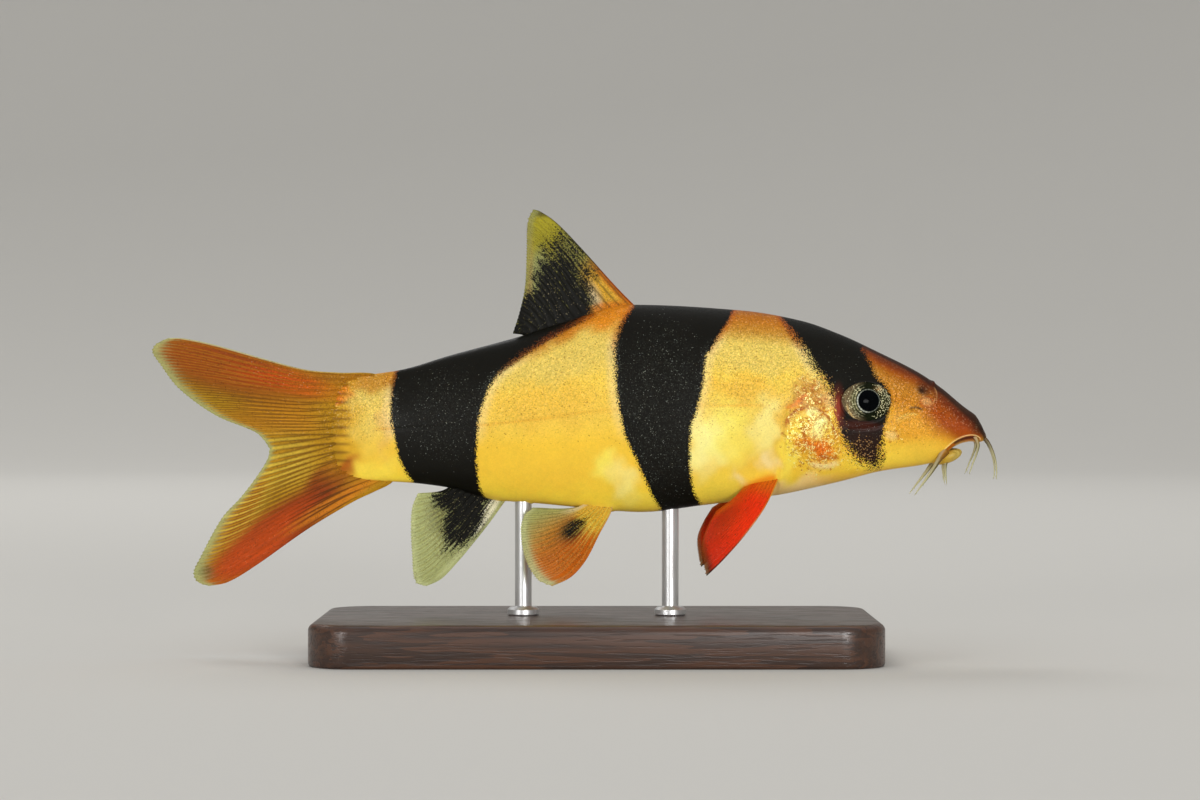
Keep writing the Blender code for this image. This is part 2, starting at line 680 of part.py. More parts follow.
def make_rod(name, back, collection):
    """An upright rod from the base into the belly, to be trimmed to it."""
    foot = BASE_SIZE[2] * MM + GAP
    head = place(back, profile(BELLY_LINE, back) + ROD_SINK)
    form = bmesh.new()
    bmesh.ops.create_cone(
        form, cap_ends=True, segments=20, radius1=ROD_RADIUS * MM, radius2=ROD_RADIUS * MM, depth=head.z - foot
    )
    bmesh.ops.translate(form, vec=(head.x, head.y, (head.z + foot) / 2), verts=form.verts)
    mesh = bpy.data.meshes.new(name)
    form.to_mesh(mesh)
    form.free()
    rod = bpy.data.objects.new(name, mesh)
    collection.objects.link(rod)
    return rod


def make_barbel(name, line, side, collection):
    """One barbel, tapering from its root inside the head."""
    points = [(back, height, side * out) for back, height, out in resample(line, BARBEL_POINTS)]
    taper = (BARBEL_TIP_RADIUS - BARBEL_ROOT_RADIUS) / (BARBEL_POINTS - 1)
    radii = [BARBEL_ROOT_RADIUS + taper * i for i in range(BARBEL_POINTS)]
    return tube(name, points, radii, collection)


def finish(name, colour, roughness, metallic=0.0):
    """A plain material."""
    made = bpy.data.materials.new(name)
    made.use_nodes = True
    shader = made.node_tree.nodes["Principled BSDF"]
    shader.inputs["Base Color"].default_value = (*colour, 1.0)
    shader.inputs["Roughness"].default_value = roughness
    shader.inputs["Metallic"].default_value = metallic
    return made


def dress(obj, material, angle=40.0):
    """Gives an object its material and smooth shading."""
    obj.data.materials.clear()
    obj.data.materials.append(material)
    obj.data.shade_smooth()
    obj.data.set_sharp_from_angle(angle=math.radians(angle))


def build():
    """Makes every piece of the fish and its stand."""
    for obj in list(bpy.data.objects):
        bpy.data.objects.remove(obj)
    fish = bpy.data.collections.new("clown_loach")
    bpy.context.scene.collection.children.link(fish)

    gold = finish("gold_skin", (0.72, 0.45, 0.12), 0.35)
    red = finish("red_fin", (0.75, 0.12, 0.03), 0.4)
    dark = finish("dark_fin", (0.06, 0.055, 0.04), 0.4)
    pale = finish("pale_barbel", (0.5, 0.42, 0.2), 0.4)
    eye = finish("eye", (0.05, 0.06, 0.05), 0.1)
    wood = finish("stand_wood", (0.16, 0.08, 0.04), 0.45)
    steel = finish("stand_steel", (0.6, 0.6, 0.6), 0.3, 1.0)

    for made in (make_head(fish), make_trunk(fish), make_tail_stem(fish)):
        dress(made, gold)
    around = envelope(fish)
    for fin in FINS:
        colour = red if fin.name.startswith(("pectoral", "pelvic", "tail")) else dark
        if fin.name.startswith(("pectoral", "pelvic")):
            for side, word in ((-1, "right"), (1, "left")):
                dress(trimmed(make_fin(fin, f"{fin.name}_{word}", side, fish), around), colour)
        else:
            dress(trimmed(make_fin(fin, fin.name, 1, fish), around), colour)
    for side, word in ((-1, "right"), (1, "left")):
        dress(eyeball(f"eye_{word}", side, fish), eye)
        for name, line in BARBELS.items():
            dress(trimmed(make_barbel(f"{name}_{word}", line, side, fish), around), pale)
    dress(make_base(fish), wood)
    for word, back in (("front", ROD_FRONT_BACK), ("rear", ROD_REAR_BACK)):
        dress(trimmed(make_rod(f"stand_rod_{word}", back, fish), around), steel)
    bpy.data.objects.remove(around)


if __name__ == "__main__":
    build()
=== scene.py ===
"""The looks of a young clown loach at life size, held over its display stand.

Places on the fish are written (back, height, side) in millimetres: how far back from the tip of the snout,
how far above the long axis, and how far out from the middle plane, positive towards the fish's left. A place
in the middle plane may leave its side out. BodyPlan.place turns places into the frame's metres. The fish
swims along +X, and its right side faces -Y.
"""

from __future__ import annotations

import logging
import math
from dataclasses import dataclass
from enum import Enum
from functools import cached_property
from typing import Sequence

import bpy
import numpy as np
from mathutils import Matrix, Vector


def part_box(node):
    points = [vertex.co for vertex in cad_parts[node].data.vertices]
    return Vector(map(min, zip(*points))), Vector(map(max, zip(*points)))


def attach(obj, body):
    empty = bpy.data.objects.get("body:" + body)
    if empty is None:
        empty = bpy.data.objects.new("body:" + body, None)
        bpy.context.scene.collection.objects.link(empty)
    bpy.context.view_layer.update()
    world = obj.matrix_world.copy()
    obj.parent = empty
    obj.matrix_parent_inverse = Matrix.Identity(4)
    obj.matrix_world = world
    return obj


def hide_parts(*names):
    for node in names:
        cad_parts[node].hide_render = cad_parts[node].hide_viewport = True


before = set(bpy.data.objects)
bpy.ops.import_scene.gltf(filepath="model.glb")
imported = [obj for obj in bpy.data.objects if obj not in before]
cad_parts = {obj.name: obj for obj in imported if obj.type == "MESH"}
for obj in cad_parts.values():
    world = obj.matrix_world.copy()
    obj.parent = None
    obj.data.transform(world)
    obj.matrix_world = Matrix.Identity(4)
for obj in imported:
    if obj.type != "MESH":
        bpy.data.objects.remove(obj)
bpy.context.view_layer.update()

MM = 0.001
SIDES = ((-1, "right"), (1, "left"))
TUBE_ENDS = (0, -1)  # rows whose fields the middles of a tube's ends take

Array = np.ndarray
Pair = tuple[float, float]
Place = tuple[float, float, float]
Piece = bpy.types.Object
Socket = bpy.types.NodeSocket

log = logging.getLogger("clown_loach")


def fade(value: Array, low: float, high: float) -> Array:
    """Smooth step from 0 at low to 1 at high.

    Args:
        value: Numbers to grade.
        low: Where the step starts. It may lie above high.
        high: Where the step ends.

    Returns:
        The step, from 0 to 1.
    """
    t = np.clip((value - low) / (high - low), 0.0, 1.0)
    return t * t * (3.0 - 2.0 * t)


def blend(low: Array, high: Array, weight: Array) -> Array:
    """Mixes rows of colours by one weight a row."""
    return low + (high - low) * weight[..., None]


def normalised(vectors: Array) -> Array:
    """Vectors brought to length 1."""
    return vectors / np.maximum(np.linalg.norm(vectors, axis=-1, keepdims=True), 1e-12)


def turns_round(count: int, start: float = 0.0) -> Array:
    """Even turns round a circle, the first one this share of a step in."""
    return 2 * math.pi * (np.arange(count) + start) / count


def cubic(first: Array, rise: Array, start: Array, end: Array, t: Array) -> Array:
    """Values at the shares t of a step, by its first value, its rise and its slopes at both ends."""
    return first + t * (start + t * (3 * rise - 2 * start - end + t * (start + end - 2 * rise)))


def oval_reach(chart: Array, centre: Pair, radii: Pair, degrees: float = 0.0) -> Array:
    """How far rows of a chart lie from the middle of an oval, 1 on its edge.

    Args:
        chart: Rows of two numbers.
        centre: The oval's middle.
        radii: Its two radii.
        degrees: Its turn, from the chart's first axis towards its second.

    Returns:
        The distances.
    """
    away = chart - np.array(centre)
    turn = math.radians(degrees)
    first = away[..., 0] * math.cos(turn) + away[..., 1] * math.sin(turn)
    second = away[..., 1] * math.cos(turn) - away[..., 0] * math.sin(turn)
    return np.hypot(first / radii[0], second / radii[1])


class Paint(Enum):
    """Colours of the fish and its stand, as they look in even light."""

    COAL = "#12110c"
    UMBER = "#2b1a10"
    EMBER = "#4a2013"
    MAROON = "#5c2113"
    RUST = "#a5430f"
    BRICK = "#9c3f2a"
    COPPER = "#d8700f"
    RED = "#e2300a"
    SCARLET = "#ff3c0c"
    FLAME = "#ee5c12"
    ORANGE = "#e8901c"
    AMBER = "#dc9a28"
    OCHRE = "#c08a30"
    BACK = "#bd7418"
    BACK_DEEP = "#a25c10"
    CREAM = "#dfc35e"
    GOLD = "#efca50"
    HONEY = "#f2c63e"
    YELLOW = "#f8dc52"
    LEMON = "#fdf06a"
    # Pale glow: the flank's painted highlights, pale spots on the gill cover and the skin's metallic flecks
    GLOW = "#fdf7a0"
    # The belly's yellow at full brightness, partly painted light: the glow through its flesh and light on its
    # shaded underside
    BELLY = "#ffdc46"
    BELLY_EDGE_LIT = "#ffd54e"
    BLUSH = "#fdd68c"
    PEARL = "#f3e2ae"
    IVORY = "#fbf6d8"
    BONE = "#e8dcb4"
    TAN = "#d9a566"
    SNOUT = "#a0440c"
    CHEEK = "#e6ae33"
    OLIVE = "#bcae1c"
    MOSS = "#a8a452"
    LEAF = "#c0c583"
    CLEAR = "#dbdfa8"
    SMOKE = "#6b6a3c"
    BRASS = "#cf9c1a"
    UMBER_RAY = "#5c3510"
    SILVER = "#d3d8c8"
    JET = "#050608"
    PINE = "#171b0e"
    LICHEN = "#7a7546"
    MIST = "#7d6a4e"
    REED = "#8d8850"
    SPARK = "#e2dcae"
    WALNUT = "#4a2c1a"
    WALNUT_DARK = "#25140b"
    STEEL = "#b9b9b6"
    STUDIO = "#d9d7d2"

    @property
    def linear(self) -> Array:
        """The colour in linear light."""
        code = self.value.lstrip("#")
        seen = np.array([int(code[i : i + 2], 16) for i in (0, 2, 4)]) / 255.0
        return np.where(seen <= 0.04045, seen / 12.92, ((seen + 0.055) / 1.055) ** 2.4)

    def rows(self, count: int) -> Array:
        """The colour in linear light, once for each of so many rows."""
        return np.tile(self.linear, (count, 1))

    def over(self, rows: Array, weight: Array) -> Array:
        """Rows of colours with this one laid over them."""
        return blend(rows, self.linear, weight)


class SmoothCurve:
    """A curve through (place, value) points that doesn't overshoot them."""

    def __init__(self, points: Sequence[Pair], rooted: bool = False) -> None:
        """Prepares the curve.

        Args:
            points: The (place, value) points, their places rising.
            rooted: Whether the curve runs on the root of the place, which rounds it off at 0.
        """
        self.rooted = rooted
        place, self.values = np.array(points, float).T
        self.places = np.sqrt(place) if rooted else place
        slopes = np.diff(self.values) / np.diff(self.places)
        before, after = slopes[:-1], slopes[1:]
        turned = before * after <= 0
        inner = np.where(turned, 0.0, 2 * before * after / np.where(turned, 1.0, before + after))
        self.slopes = np.concatenate([slopes[:1], inner, slopes[-1:]])

    def __call__(self, at: Array | float) -> Array:
        """Values of the curve at these places."""
        at = np.asarray(at, float)
        if self.rooted:
            at = np.sqrt(np.maximum(at, 0.0))
        at = np.clip(at, self.places[0], self.places[-1])
        k = np.clip(np.searchsorted(self.places, at, side="right") - 1, 0, len(self.places) - 2)
        span = self.places[k + 1] - self.places[k]
        t = (at - self.places[k]) / span
        rise = self.values[k + 1] - self.values[k]
        start, end = self.slopes[k] * span, self.slopes[k + 1] * span
        return cubic(self.values[k], rise, start, end, t)


class SpaceLine:
    """A smooth line through places in space, run by the share of its length."""

    def __init__(self, points: Sequence[Sequence[float]]) -> None:
        """Prepares the line through these places."""
        self.points = np.array(points, float)
        steps = np.linalg.norm(np.diff(self.points, axis=0), axis=1)
        self.runs = np.concatenate([[0.0], np.cumsum(steps)])
        low = np.maximum(np.arange(len(self.points)) - 1, 0)
        high = np.minimum(low + 2, len(self.points) - 1)
        high[0] = 1
        spans = (self.runs[high] - self.runs[low])[:, None]
        self.tangents = (self.points[high] - self.points[low]) / spans

    def __call__(self, share: Array) -> Array:
        """Places at these shares of the line's length."""
        at = np.asarray(share, float) * self.runs[-1]
        k = np.clip(np.searchsorted(self.runs, at, side="right") - 1, 0, len(self.runs) - 2)
        span = (self.runs[k + 1] - self.runs[k])[..., None]
        t = (at - self.runs[k])[..., None] / span
        rise = self.points[k + 1] - self.points[k]
        start, end = self.tangents[k] * span, self.tangents[k + 1] * span
        return cubic(self.points[k], rise, start, end, t)


def line_distance(spots: Array, line: Array) -> tuple[Array, Array]:
    """Measures how near spots lie to a line.

    Args:
        spots: Places, one a row.
        line: The line's points, one a row, in as many dimensions.

    Returns:
        The distance of each spot, and the share of the line's length at its nearest point.
    """
    runs = np.concatenate([[0.0], np.cumsum(np.linalg.norm(np.diff(line, axis=0), axis=1))])
    nearest = np.full(len(spots), np.inf)
    share = np.zeros(len(spots))
    for k in range(len(line) - 1):
        step = line[k + 1] - line[k]
        t = np.clip((spots - line[k]) @ step / (step @ step), 0.0, 1.0)
        gap = np.linalg.norm(spots - line[k] - t[:, None] * step, axis=1)
        closer = gap < nearest
        nearest[closer] = gap[closer]
        share[closer] = (runs[k] + t[closer] * (runs[k + 1] - runs[k])) / runs[-1]
    return nearest, share


@dataclass(frozen=True)
class BodyPlan:
    """Outline and sections of the fish's head and body, and where they stand in the frame.

    The outlines are (back, height) or (back, half width). A section is two half superellipses, which meet at
    the widest level.
    """

    back_line: tuple[Pair, ...] = (
        (0.0, -0.75), (0.22, -0.1), (0.65, 0.8), (1.2, 1.65), (1.95, 2.2), (2.8, 2.85), (4.9, 4.6),
        (7.1, 6.1),
        (11.4, 8.3), (15.7, 10.3), (20.0, 11.8), (26.5, 12.9), (38.1, 13.5), (44.8, 11.7), (51.0, 9.85),
        (57.7, 8.05), (63.0, 6.5), (66.3, 6.0), (68.5, 5.7), (70.3, 5.2),
    )
    belly_line: tuple[Pair, ...] = (
        (0.0, -0.75), (0.22, -1.1), (0.65, -1.25), (1.7, -1.3), (2.6, -1.45), (3.3, -1.75), (3.9, -2.2),
        (4.6, -2.9), (5.3, -3.35), (6.5, -3.65), (11.4, -4.4), (15.7, -5.5), (22.2, -6.9), (30.8, -8.1),
        (37.2, -8.8), (42.6, -8.4), (49.0, -7.8), (51.8, -7.6), (54.4, -7.0), (57.7, -6.2), (62.0, -5.65),
        (66.3, -5.4), (68.5, -5.0), (70.3, -4.4),
    )
    half_widths: tuple[Pair, ...] = (
        (0.0, 0.0), (0.22, 0.75), (0.65, 1.2), (1.2, 1.5), (1.95, 1.75), (2.8, 1.95), (4.9, 2.4),
        (7.1, 2.8),
        (11.4, 3.5), (15.7, 4.2), (20.0, 4.9), (26.5, 5.25), (33.0, 5.2), (38.1, 4.9), (44.8, 4.25),
        (51.0, 3.55), (57.7, 2.6), (63.0, 1.8), (66.3, 1.1), (68.5, 0.42), (70.3, 0.14),
    )
    length: float = 70.3
    whole_length: float = 90.0
    axis_height: float = 24.4
    sway: float = 1.5  # how far the tail's tip swings to the left
    sway_from: float = 42.0
    waist_share: float = 0.46
    back_power: float = 1.9
    belly_power: float = 2.3

    @cached_property
    def snout_x(self) -> float:
        """Where the tip of the snout lies along the frame's X, in millimetres."""
        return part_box("head")[1].x / MM

    @cached_property
    def curves(self) -> tuple[SmoothCurve, SmoothCurve, SmoothCurve]:
        """The back line, the belly line and the half widths as curves."""
        outlines = (self.back_line, self.belly_line, self.half_widths)
        return tuple(SmoothCurve(line, rooted=True) for line in outlines)

    def place(self, spots: Array) -> Array:
        """The frame's metres of places on the fish."""
        spots = np.asarray(spots, float)
        swung = np.maximum(spots[..., 0] - self.sway_from, 0.0) / (self.whole_length - self.sway_from)
        placed = np.empty_like(spots)
        placed[..., 0] = self.snout_x - spots[..., 0]
        placed[..., 1] = spots[..., 2] + self.sway * swung**2
        placed[..., 2] = self.axis_height + spots[..., 1]
        return placed * MM

    def section(self, back: Array) -> tuple[Array, Array, Array, Array]:
        """Top, bottom, widest level and half width of the body at these distances back."""
        top, bottom, half = (curve(back) for curve in self.curves)
        return top, bottom, bottom + self.waist_share * (top - bottom), half

    def surface(self, back: Array, turn: Array) -> Array:
        """Places on the body's surface, by the turn from the left side over the back."""
        top, bottom, waist, half = self.section(back)
        across, up = np.cos(turn), np.sin(turn)
        power = 2 / np.where(up >= 0, self.back_power, self.belly_power)
        reach = np.where(up >= 0, top - waist, waist - bottom)
        height = waist + np.sign(up) * reach * np.abs(up) ** power
        return np.stack([back, height, np.sign(across) * half * np.abs(across) ** power], axis=-1)

    def flank(self, back: Array | float, height: Array | float) -> Array:
        """How far out the flank lies at places on the side of the fish."""
        top, bottom, waist, half = self.section(back)
        above = height >= waist
        power = np.where(above, self.back_power, self.belly_power)
        reach = np.where(above, top - waist, waist - bottom)
        left = np.clip(1 - np.abs((height - waist) / reach) ** power, 0.0, 1.0)
        return half * left ** (1 / power)

    def level(self, spots: Array) -> Array:
        """How high spots lie in the body's section, from 0 at the belly to 1 at the back."""
        top, bottom, _, _ = self.section(spots[:, 0])
        return (spots[:, 1] - bottom) / np.maximum(top - bottom, 0.1)


class SoftOval:
    """What ovals with and without a colour share.

    Their chart is the flank's (back, height) or a fin's (across, out). An oval's turn is in degrees, from the
    chart's first axis towards its second, and its softness is the share of its radii over which it fades.
    """

    def weight(self, chart: Array) -> Array:
        """How much of the oval each row of the chart takes."""
        reach = oval_reach(chart, self.centre, self.radii, self.turn)
        return self.strength * fade(reach, 1 + self.softness / 2, 1 - self.softness / 2)


@dataclass(frozen=True)
class Oval(SoftOval):
    """A soft-edged oval."""

    centre: Pair
    radii: Pair
    strength: float = 1.0
    turn: float = 0.0
    softness: float = 0.7


@dataclass(frozen=True)
class Tint(SoftOval):
    """A soft-edged oval of colour."""

    centre: Pair
    radii: Pair
    paint: Paint
    strength: float = 1.0
    turn: float = 0.0
    softness: float = 0.7


def lay(made: Array, tints: Sequence[Tint], chart: Array, share: Array | float = 1.0) -> Array:
    """Lays ovals of colour over rows of colours, each row taking this share of their weight."""
    for tint in tints:
        made = tint.paint.over(made, tint.weight(chart) * share)
    return made


def strongest(ovals: Sequence[Oval], chart: Array, least: Array | float = 0.0) -> Array:
    """The largest weight of any of the ovals at each row of the chart, and at least so much."""
    return np.max([np.zeros(len(chart)) + least, *(oval.weight(chart) for oval in ovals)], axis=0)


def paint_stops(stops: Sequence[tuple[float, Paint]], at: Array) -> Array:
    """Rows of colours at these places between (place, paint) stops."""
    places = [place for place, _ in stops]
    paints = np.array([paint.linear for _, paint in stops])
    return np.stack([np.interp(at, places, channel) for channel in paints.T], axis=-1)


class Trait:
    """Something small on the skin, shown by its relief (its rise in millimetres), its paint or both."""

    def weight(self, spots: Array) -> Array:
        """How much of the trait each spot takes, from 0 to 1. The spots' sides are all positive."""
        raise NotImplementedError


@dataclass(frozen=True)
class Line(Trait):
    """A groove, ridge or stroke along a line of (back, height), or (back, height, side), places."""

    points: tuple[tuple[float, ...], ...]
    width: float
    rise: float = 0.0
    paint: Paint | None = None
    strength: float = 1.0
    taper: float = 0.25  # share of the length over which each end fades
    flat: float = 1.0  # over 1 gives the line a flat top and steep sides

    def weight(self, spots: Array) -> Array:
        """How much of the line each spot takes."""
        line = SpaceLine(self.points)(np.linspace(0, 1, 6 * len(self.points)))
        flat = spots[:, : line.shape[1]]
        low, high = line.min(axis=0) - 4 * self.width, line.max(axis=0) + 4 * self.width
        near = np.all((flat > low) & (flat < high), axis=1)
        weight = np.zeros(len(spots))
        gap, share = line_distance(flat[near], line)
        ends = fade(np.minimum(share, 1 - share), -0.02, self.taper) if self.taper else 1.0
        weight[near] = np.exp(-((gap / self.width) ** (2 * self.flat))) * ends
        return weight


@dataclass(frozen=True)
class Spot(Trait):
    """A boss, hollow or patch on the flank."""

    centre: Pair
    radii: Pair
    rise: float = 0.0
    paint: Paint | None = None
    strength: float = 1.0
    turn: float = 0.0
    flat: float = 1.0

    def weight(self, spots: Array) -> Array:
        """How much of the patch each spot takes."""
        reach = oval_reach(spots[:, :2], self.centre, self.radii, self.turn)
        return np.exp(-(reach ** (2 * self.flat)))


@dataclass(frozen=True)
class Ring(Trait):
    """A ridge or groove round an oval on the flank."""

    centre: Pair
    radii: Pair
    width: float
    rise: float = 0.0
    paint: Paint | None = None
    strength: float = 1.0

    def weight(self, spots: Array) -> Array:
        """How much of the ring each spot takes."""
        gap = (oval_reach(spots[:, :2], self.centre, self.radii) - 1) * sum(self.radii) / 2
        return np.exp(-((gap / self.width) ** 2))


@dataclass(frozen=True)
class Band:
    """A dark band across the flank. Its edges are (height, back) points, their heights rising."""

    front: tuple[Pair, ...]
    rear: tuple[Pair, ...]
    floor: float = -20.0  # the band ends below this height

    def depth(self, spots: Array) -> Array:
        """How far inside the band spots lie, in millimetres, negative outside it."""
        step = 0.2
        sides = []
        for edge, way in ((SmoothCurve(self.front), 1), (SmoothCurve(self.rear), -1)):
            lean = (edge(spots[:, 1] + step) - edge(spots[:, 1] - step)) / (2 * step)
            sides.append(way * (spots[:, 0] - edge(spots[:, 1])) / np.hypot(1.0, lean))
        return np.minimum(np.minimum(*sides), spots[:, 1] - self.floor)


@dataclass(frozen=True)
class Markings:
    """Colours of the skin, as fields over places on the fish."""

    plan: BodyPlan
    bands: tuple[Band, ...] = (
        Band(
            front=(
                (-4.0, 11.7), (-3.0, 11.4), (0.0, 11.3), (1.7, 10.9), (3.2, 10.6), (4.9, 11.1), (5.7, 11.9),
                (7.1, 12.55), (8.7, 13.35),
            ),
            rear=(
                (-4.0, 12.6), (-3.3, 13.9), (-2.3, 14.9), (-1.2, 15.6), (0.1, 16.1), (1.7, 16.6),
                (3.4, 16.85),
                (5.0, 17.5), (6.6, 18.8), (8.2, 19.7), (9.8, 20.7), (12.0, 22.1),
            ),
            floor=-4.0,
        ),
        Band(
            front=(
                (-8.0, 30.7), (-6.3, 31.6), (-3.1, 32.0), (0.1, 31.9), (2.5, 31.2), (4.8, 30.65),
                (7.5, 30.3),
                (9.6, 29.2), (11.8, 27.8), (13.0, 27.2),
            ),
            rear=(
                (-8.4, 35.1), (-6.9, 36.0), (-3.1, 37.7), (-0.5, 38.9), (2.2, 39.5), (5.4, 39.95),
                (8.6, 40.05),
                (11.0, 39.4), (13.3, 37.9),
            ),
        ),
        Band(
            front=(
                (-7.5, 53.7), (-5.8, 54.5), (-2.6, 54.7), (0.6, 54.55), (3.2, 53.9), (5.6, 52.75),
                (7.7, 50.3),
                (9.6, 47.45), (11.5, 44.2), (12.4, 42.6),
            ),
            rear=(
                (-5.6, 61.6), (-4.4, 62.45), (-3.0, 63.1), (-0.7, 63.6), (2.0, 64.05), (4.3, 63.85),
                (6.5, 63.3),
            ),
        ),
    )
    edge_softness: float = 0.45  # millimetres over which a band's edge breaks into dots
    soft_edges: tuple[Oval, ...] = (
        Oval((19.4, 7.0), (5.0, 3.0), 0.8, 52, 1.0),
        Oval((12.6, 7.2), (3.0, 1.3), 0.3, 70, 1.0),
        Oval((13.6, -2.8), (2.8, 2.0), 1.1, 0, 1.0),
        Oval((46.0, 10.8), (7.0, 2.2), 0.6, -30, 1.0),
        Oval((39.9, 9.0), (2.0, 4.0), 0.3, 0, 1.0),
    )
    # Bottom levels: the belly's own yellow, painted at full brightness as painted light for the glow through
    # its flesh and its shaded underside
    levels: tuple[tuple[float, Paint], ...] = (
        (0.0, Paint.BELLY_EDGE_LIT), (0.04, Paint.BELLY), (0.18, Paint.HONEY), (0.34, Paint.HONEY),
        (0.48, Paint.GOLD),
        (0.66, Paint.GOLD), (0.77, Paint.CREAM), (0.82, Paint.CREAM), (0.89, Paint.OCHRE),
        (0.95, Paint.BACK),
        (1.0, Paint.BACK_DEEP),
    )
    tints: tuple[Tint, ...] = (
        # Flank between the first two bands
        Tint((25.4, 7.6), (3.6, 1.5), Paint.CREAM, 0.9, 10),
        Tint((26.3, 4.4), (3.5, 1.2), Paint.AMBER, 0.35, 4, 1.0),
        Tint((25.4, -0.4), (4.4, 3.2), Paint.CREAM, 0.5, 0, 1.2),
        # Painted highlight: a soft pale glow on the lower flank
        Tint((30.3, -1.4), (2.0, 3.0), Paint.GLOW, 0.85, 8, 1.3),
        Tint((27.6, -0.6), (2.0, 3.2), Paint.LEMON, 0.55, 0, 1.3),
        Tint((27.5, -6.2), (3.6, 1.7), Paint.YELLOW, 0.55, 0, 1.2),
        # Painted highlight: a soft pale glow behind the gill cover
        Tint((24.0, 0.4), (1.3, 2.8), Paint.GLOW, 0.5, 14, 1.3),
        Tint((23.6, -3.3), (0.7, 1.3), Paint.PEARL, 0.55, 20, 1.4),
        Tint((26.6, -5.2), (0.5, 1.2), Paint.PEARL, 0.55, -12, 1.6),
        # Flank between the second and third bands
        Tint((44.5, 8.0), (4.4, 1.9), Paint.CREAM, 0.95, -32, 1.1),
        Tint((40.9, 9.6), (2.4, 1.6), Paint.CREAM, 0.6, -20, 1.1),
        Tint((40.8, 12.2), (3.6, 1.3), Paint.ORANGE, 0.65, -14, 1.5),
        Tint((47.5, 2.6), (6.5, 2.2), Paint.AMBER, 0.28, -6, 1.3),
        Tint((41.3, -3.6), (1.1, 1.3), Paint.LEMON, 0.75, -20, 1.4),
        # Painted highlight: a soft pale glow low on the flank
        Tint((39.0, -5.4), (1.2, 2.2), Paint.GLOW, 0.5, -30, 1.4),
        Tint((37.6, -7.6), (2.4, 0.7), Paint.YELLOW, 0.5, -6, 1.3),
        Tint((48.0, -4.6), (6.0, 2.4), Paint.HONEY, 0.7, 0, 1.2),
        # Tail stem
        Tint((66.0, -4.2), (3.0, 1.0), Paint.YELLOW, 0.6, -8, 1.4),
        Tint((66.6, 1.6), (2.6, 3.4), Paint.CREAM, 0.6, 0, 1.2),
        Tint((64.6, 0.6), (0.8, 3.4), Paint.TAN, 0.4, 0, 1.3),
        Tint((66.8, 5.4), (4.0, 1.2), Paint.OCHRE, 0.9, -4, 1.3),
        Tint((70.6, 0.4), (2.6, 6.5), Paint.BRASS, 1.0, 0, 1.2),
        Tint((71.2, 0.0), (1.9, 6.5), Paint.UMBER_RAY, 0.34, 0, 1.0),
        Tint((70.2, 3.9), (2.2, 0.5), Paint.FLAME, 0.5, 12, 1.3),
        Tint((69.2, -4.7), (2.2, 1.0), Paint.RUST, 0.85, -46, 1.3),
        # Head
        Tint((5.0, -1.0), (5.6, 3.2), Paint.CHEEK, 0.8, -10, 1.0),
        Tint((9.6, 1.6), (3.4, 2.4), Paint.CHEEK, 0.85, 20, 1.0),
        Tint((7.4, 0.4), (4.4, 2.1), Paint.AMBER, 0.8, 24, 1.1),
        Tint((10.0, 4.6), (3.8, 1.9), Paint.BACK, 0.85, 34, 1.1),
        Tint((8.4, -2.6), (4.2, 1.4), Paint.YELLOW, 0.4, -8, 1.2),
        Tint((5.6, 1.0), (2.4, 1.2), Paint.BACK, 0.7, 40, 1.2),
        Tint((10.4, 7.0), (6.0, 1.35), Paint.BACK_DEEP, 0.9, 27, 1.0),
        Tint((10.7, 7.5), (6.2, 0.95), Paint.RUST, 0.7, 27, 1.0),
        Tint((10.8, 7.9), (6.4, 0.95), Paint.EMBER, 0.75, 27, 1.1),
        Tint((4.2, 1.6), (3.9, 1.6), Paint.SNOUT, 0.95, 42, 1.0),
        Tint((1.9, 0.3), (2.0, 1.8), Paint.SNOUT, 0.9, 40, 0.9),
        Tint((3.5, 2.9), (4.6, 1.2), Paint.MAROON, 0.8, 42, 1.1),
        Tint((0.6, 0.6), (0.9, 1.2), Paint.UMBER, 0.7, 50, 1.1),
        Tint((10.5, -0.5), (0.6, 0.5), Paint.PEARL, 0.3, 0, 1.4),
        Tint((13.0, -5.2), (5.5, 1.0), Paint.CHEEK, 0.6, -12, 1.2),
        # Gill cover
        Tint((18.9, 0.0), (3.2, 4.0), Paint.AMBER, 0.7, 0, 1.0),
        Tint((19.4, 3.9), (1.7, 1.5), Paint.TAN, 0.6, -20, 1.2),
        Tint((18.8, 3.9), (2.3, 1.4), Paint.OCHRE, 0.8, 0, 1.2),
        Tint((17.3, 3.4), (0.6, 0.9), Paint.BLUSH, 0.5, 0, 1.2),
        Tint((18.7, 4.6), (0.4, 0.9), Paint.RUST, 0.5, 0, 1.2),
        Tint((20.4, 3.0), (0.9, 0.45), Paint.FLAME, 0.6, -10, 1.2),
        Tint((18.0, 3.2), (0.3, 0.8), Paint.RUST, 0.45, 10, 1.2),
        Tint((20.8, 0.4), (0.9, 2.0), Paint.YELLOW, 0.7, 8, 1.3),
        Tint((16.9, 0.6), (0.5, 1.5), Paint.YELLOW, 0.6, 24, 1.3),
        Tint((21.7, -3.0), (0.9, 2.6), Paint.YELLOW, 0.9, 6, 1.1),
        Tint((19.3, 1.7), (0.6, 0.45), Paint.GLOW, 0.8, 10, 1.3),
        Tint((18.1, 0.4), (0.75, 0.85), Paint.GLOW, 0.95, 20, 1.3),
        Tint((19.6, 0.3), (0.4, 0.75), Paint.RUST, 0.75, 10, 1.2),
        Tint((18.5, -1.7), (2.0, 0.7), Paint.FLAME, 0.52, 25, 1.2),
        Tint((18.3, -1.9), (1.3, 0.4), Paint.RED, 0.15, 22, 1.3),
        Tint((18.4, -4.4), (2.8, 0.8), Paint.HONEY, 0.7, 0, 1.2),
        # Throat: its pinkish cream, painted bright as painted light on the shaded underside
        Tint((20.2, -6.2), (4.0, 1.1), Paint.BLUSH, 0.9, -10, 1.2),
        Tint((16.6, -5.2), (2.6, 0.7), Paint.CHEEK, 0.5, -14, 1.2),
    )
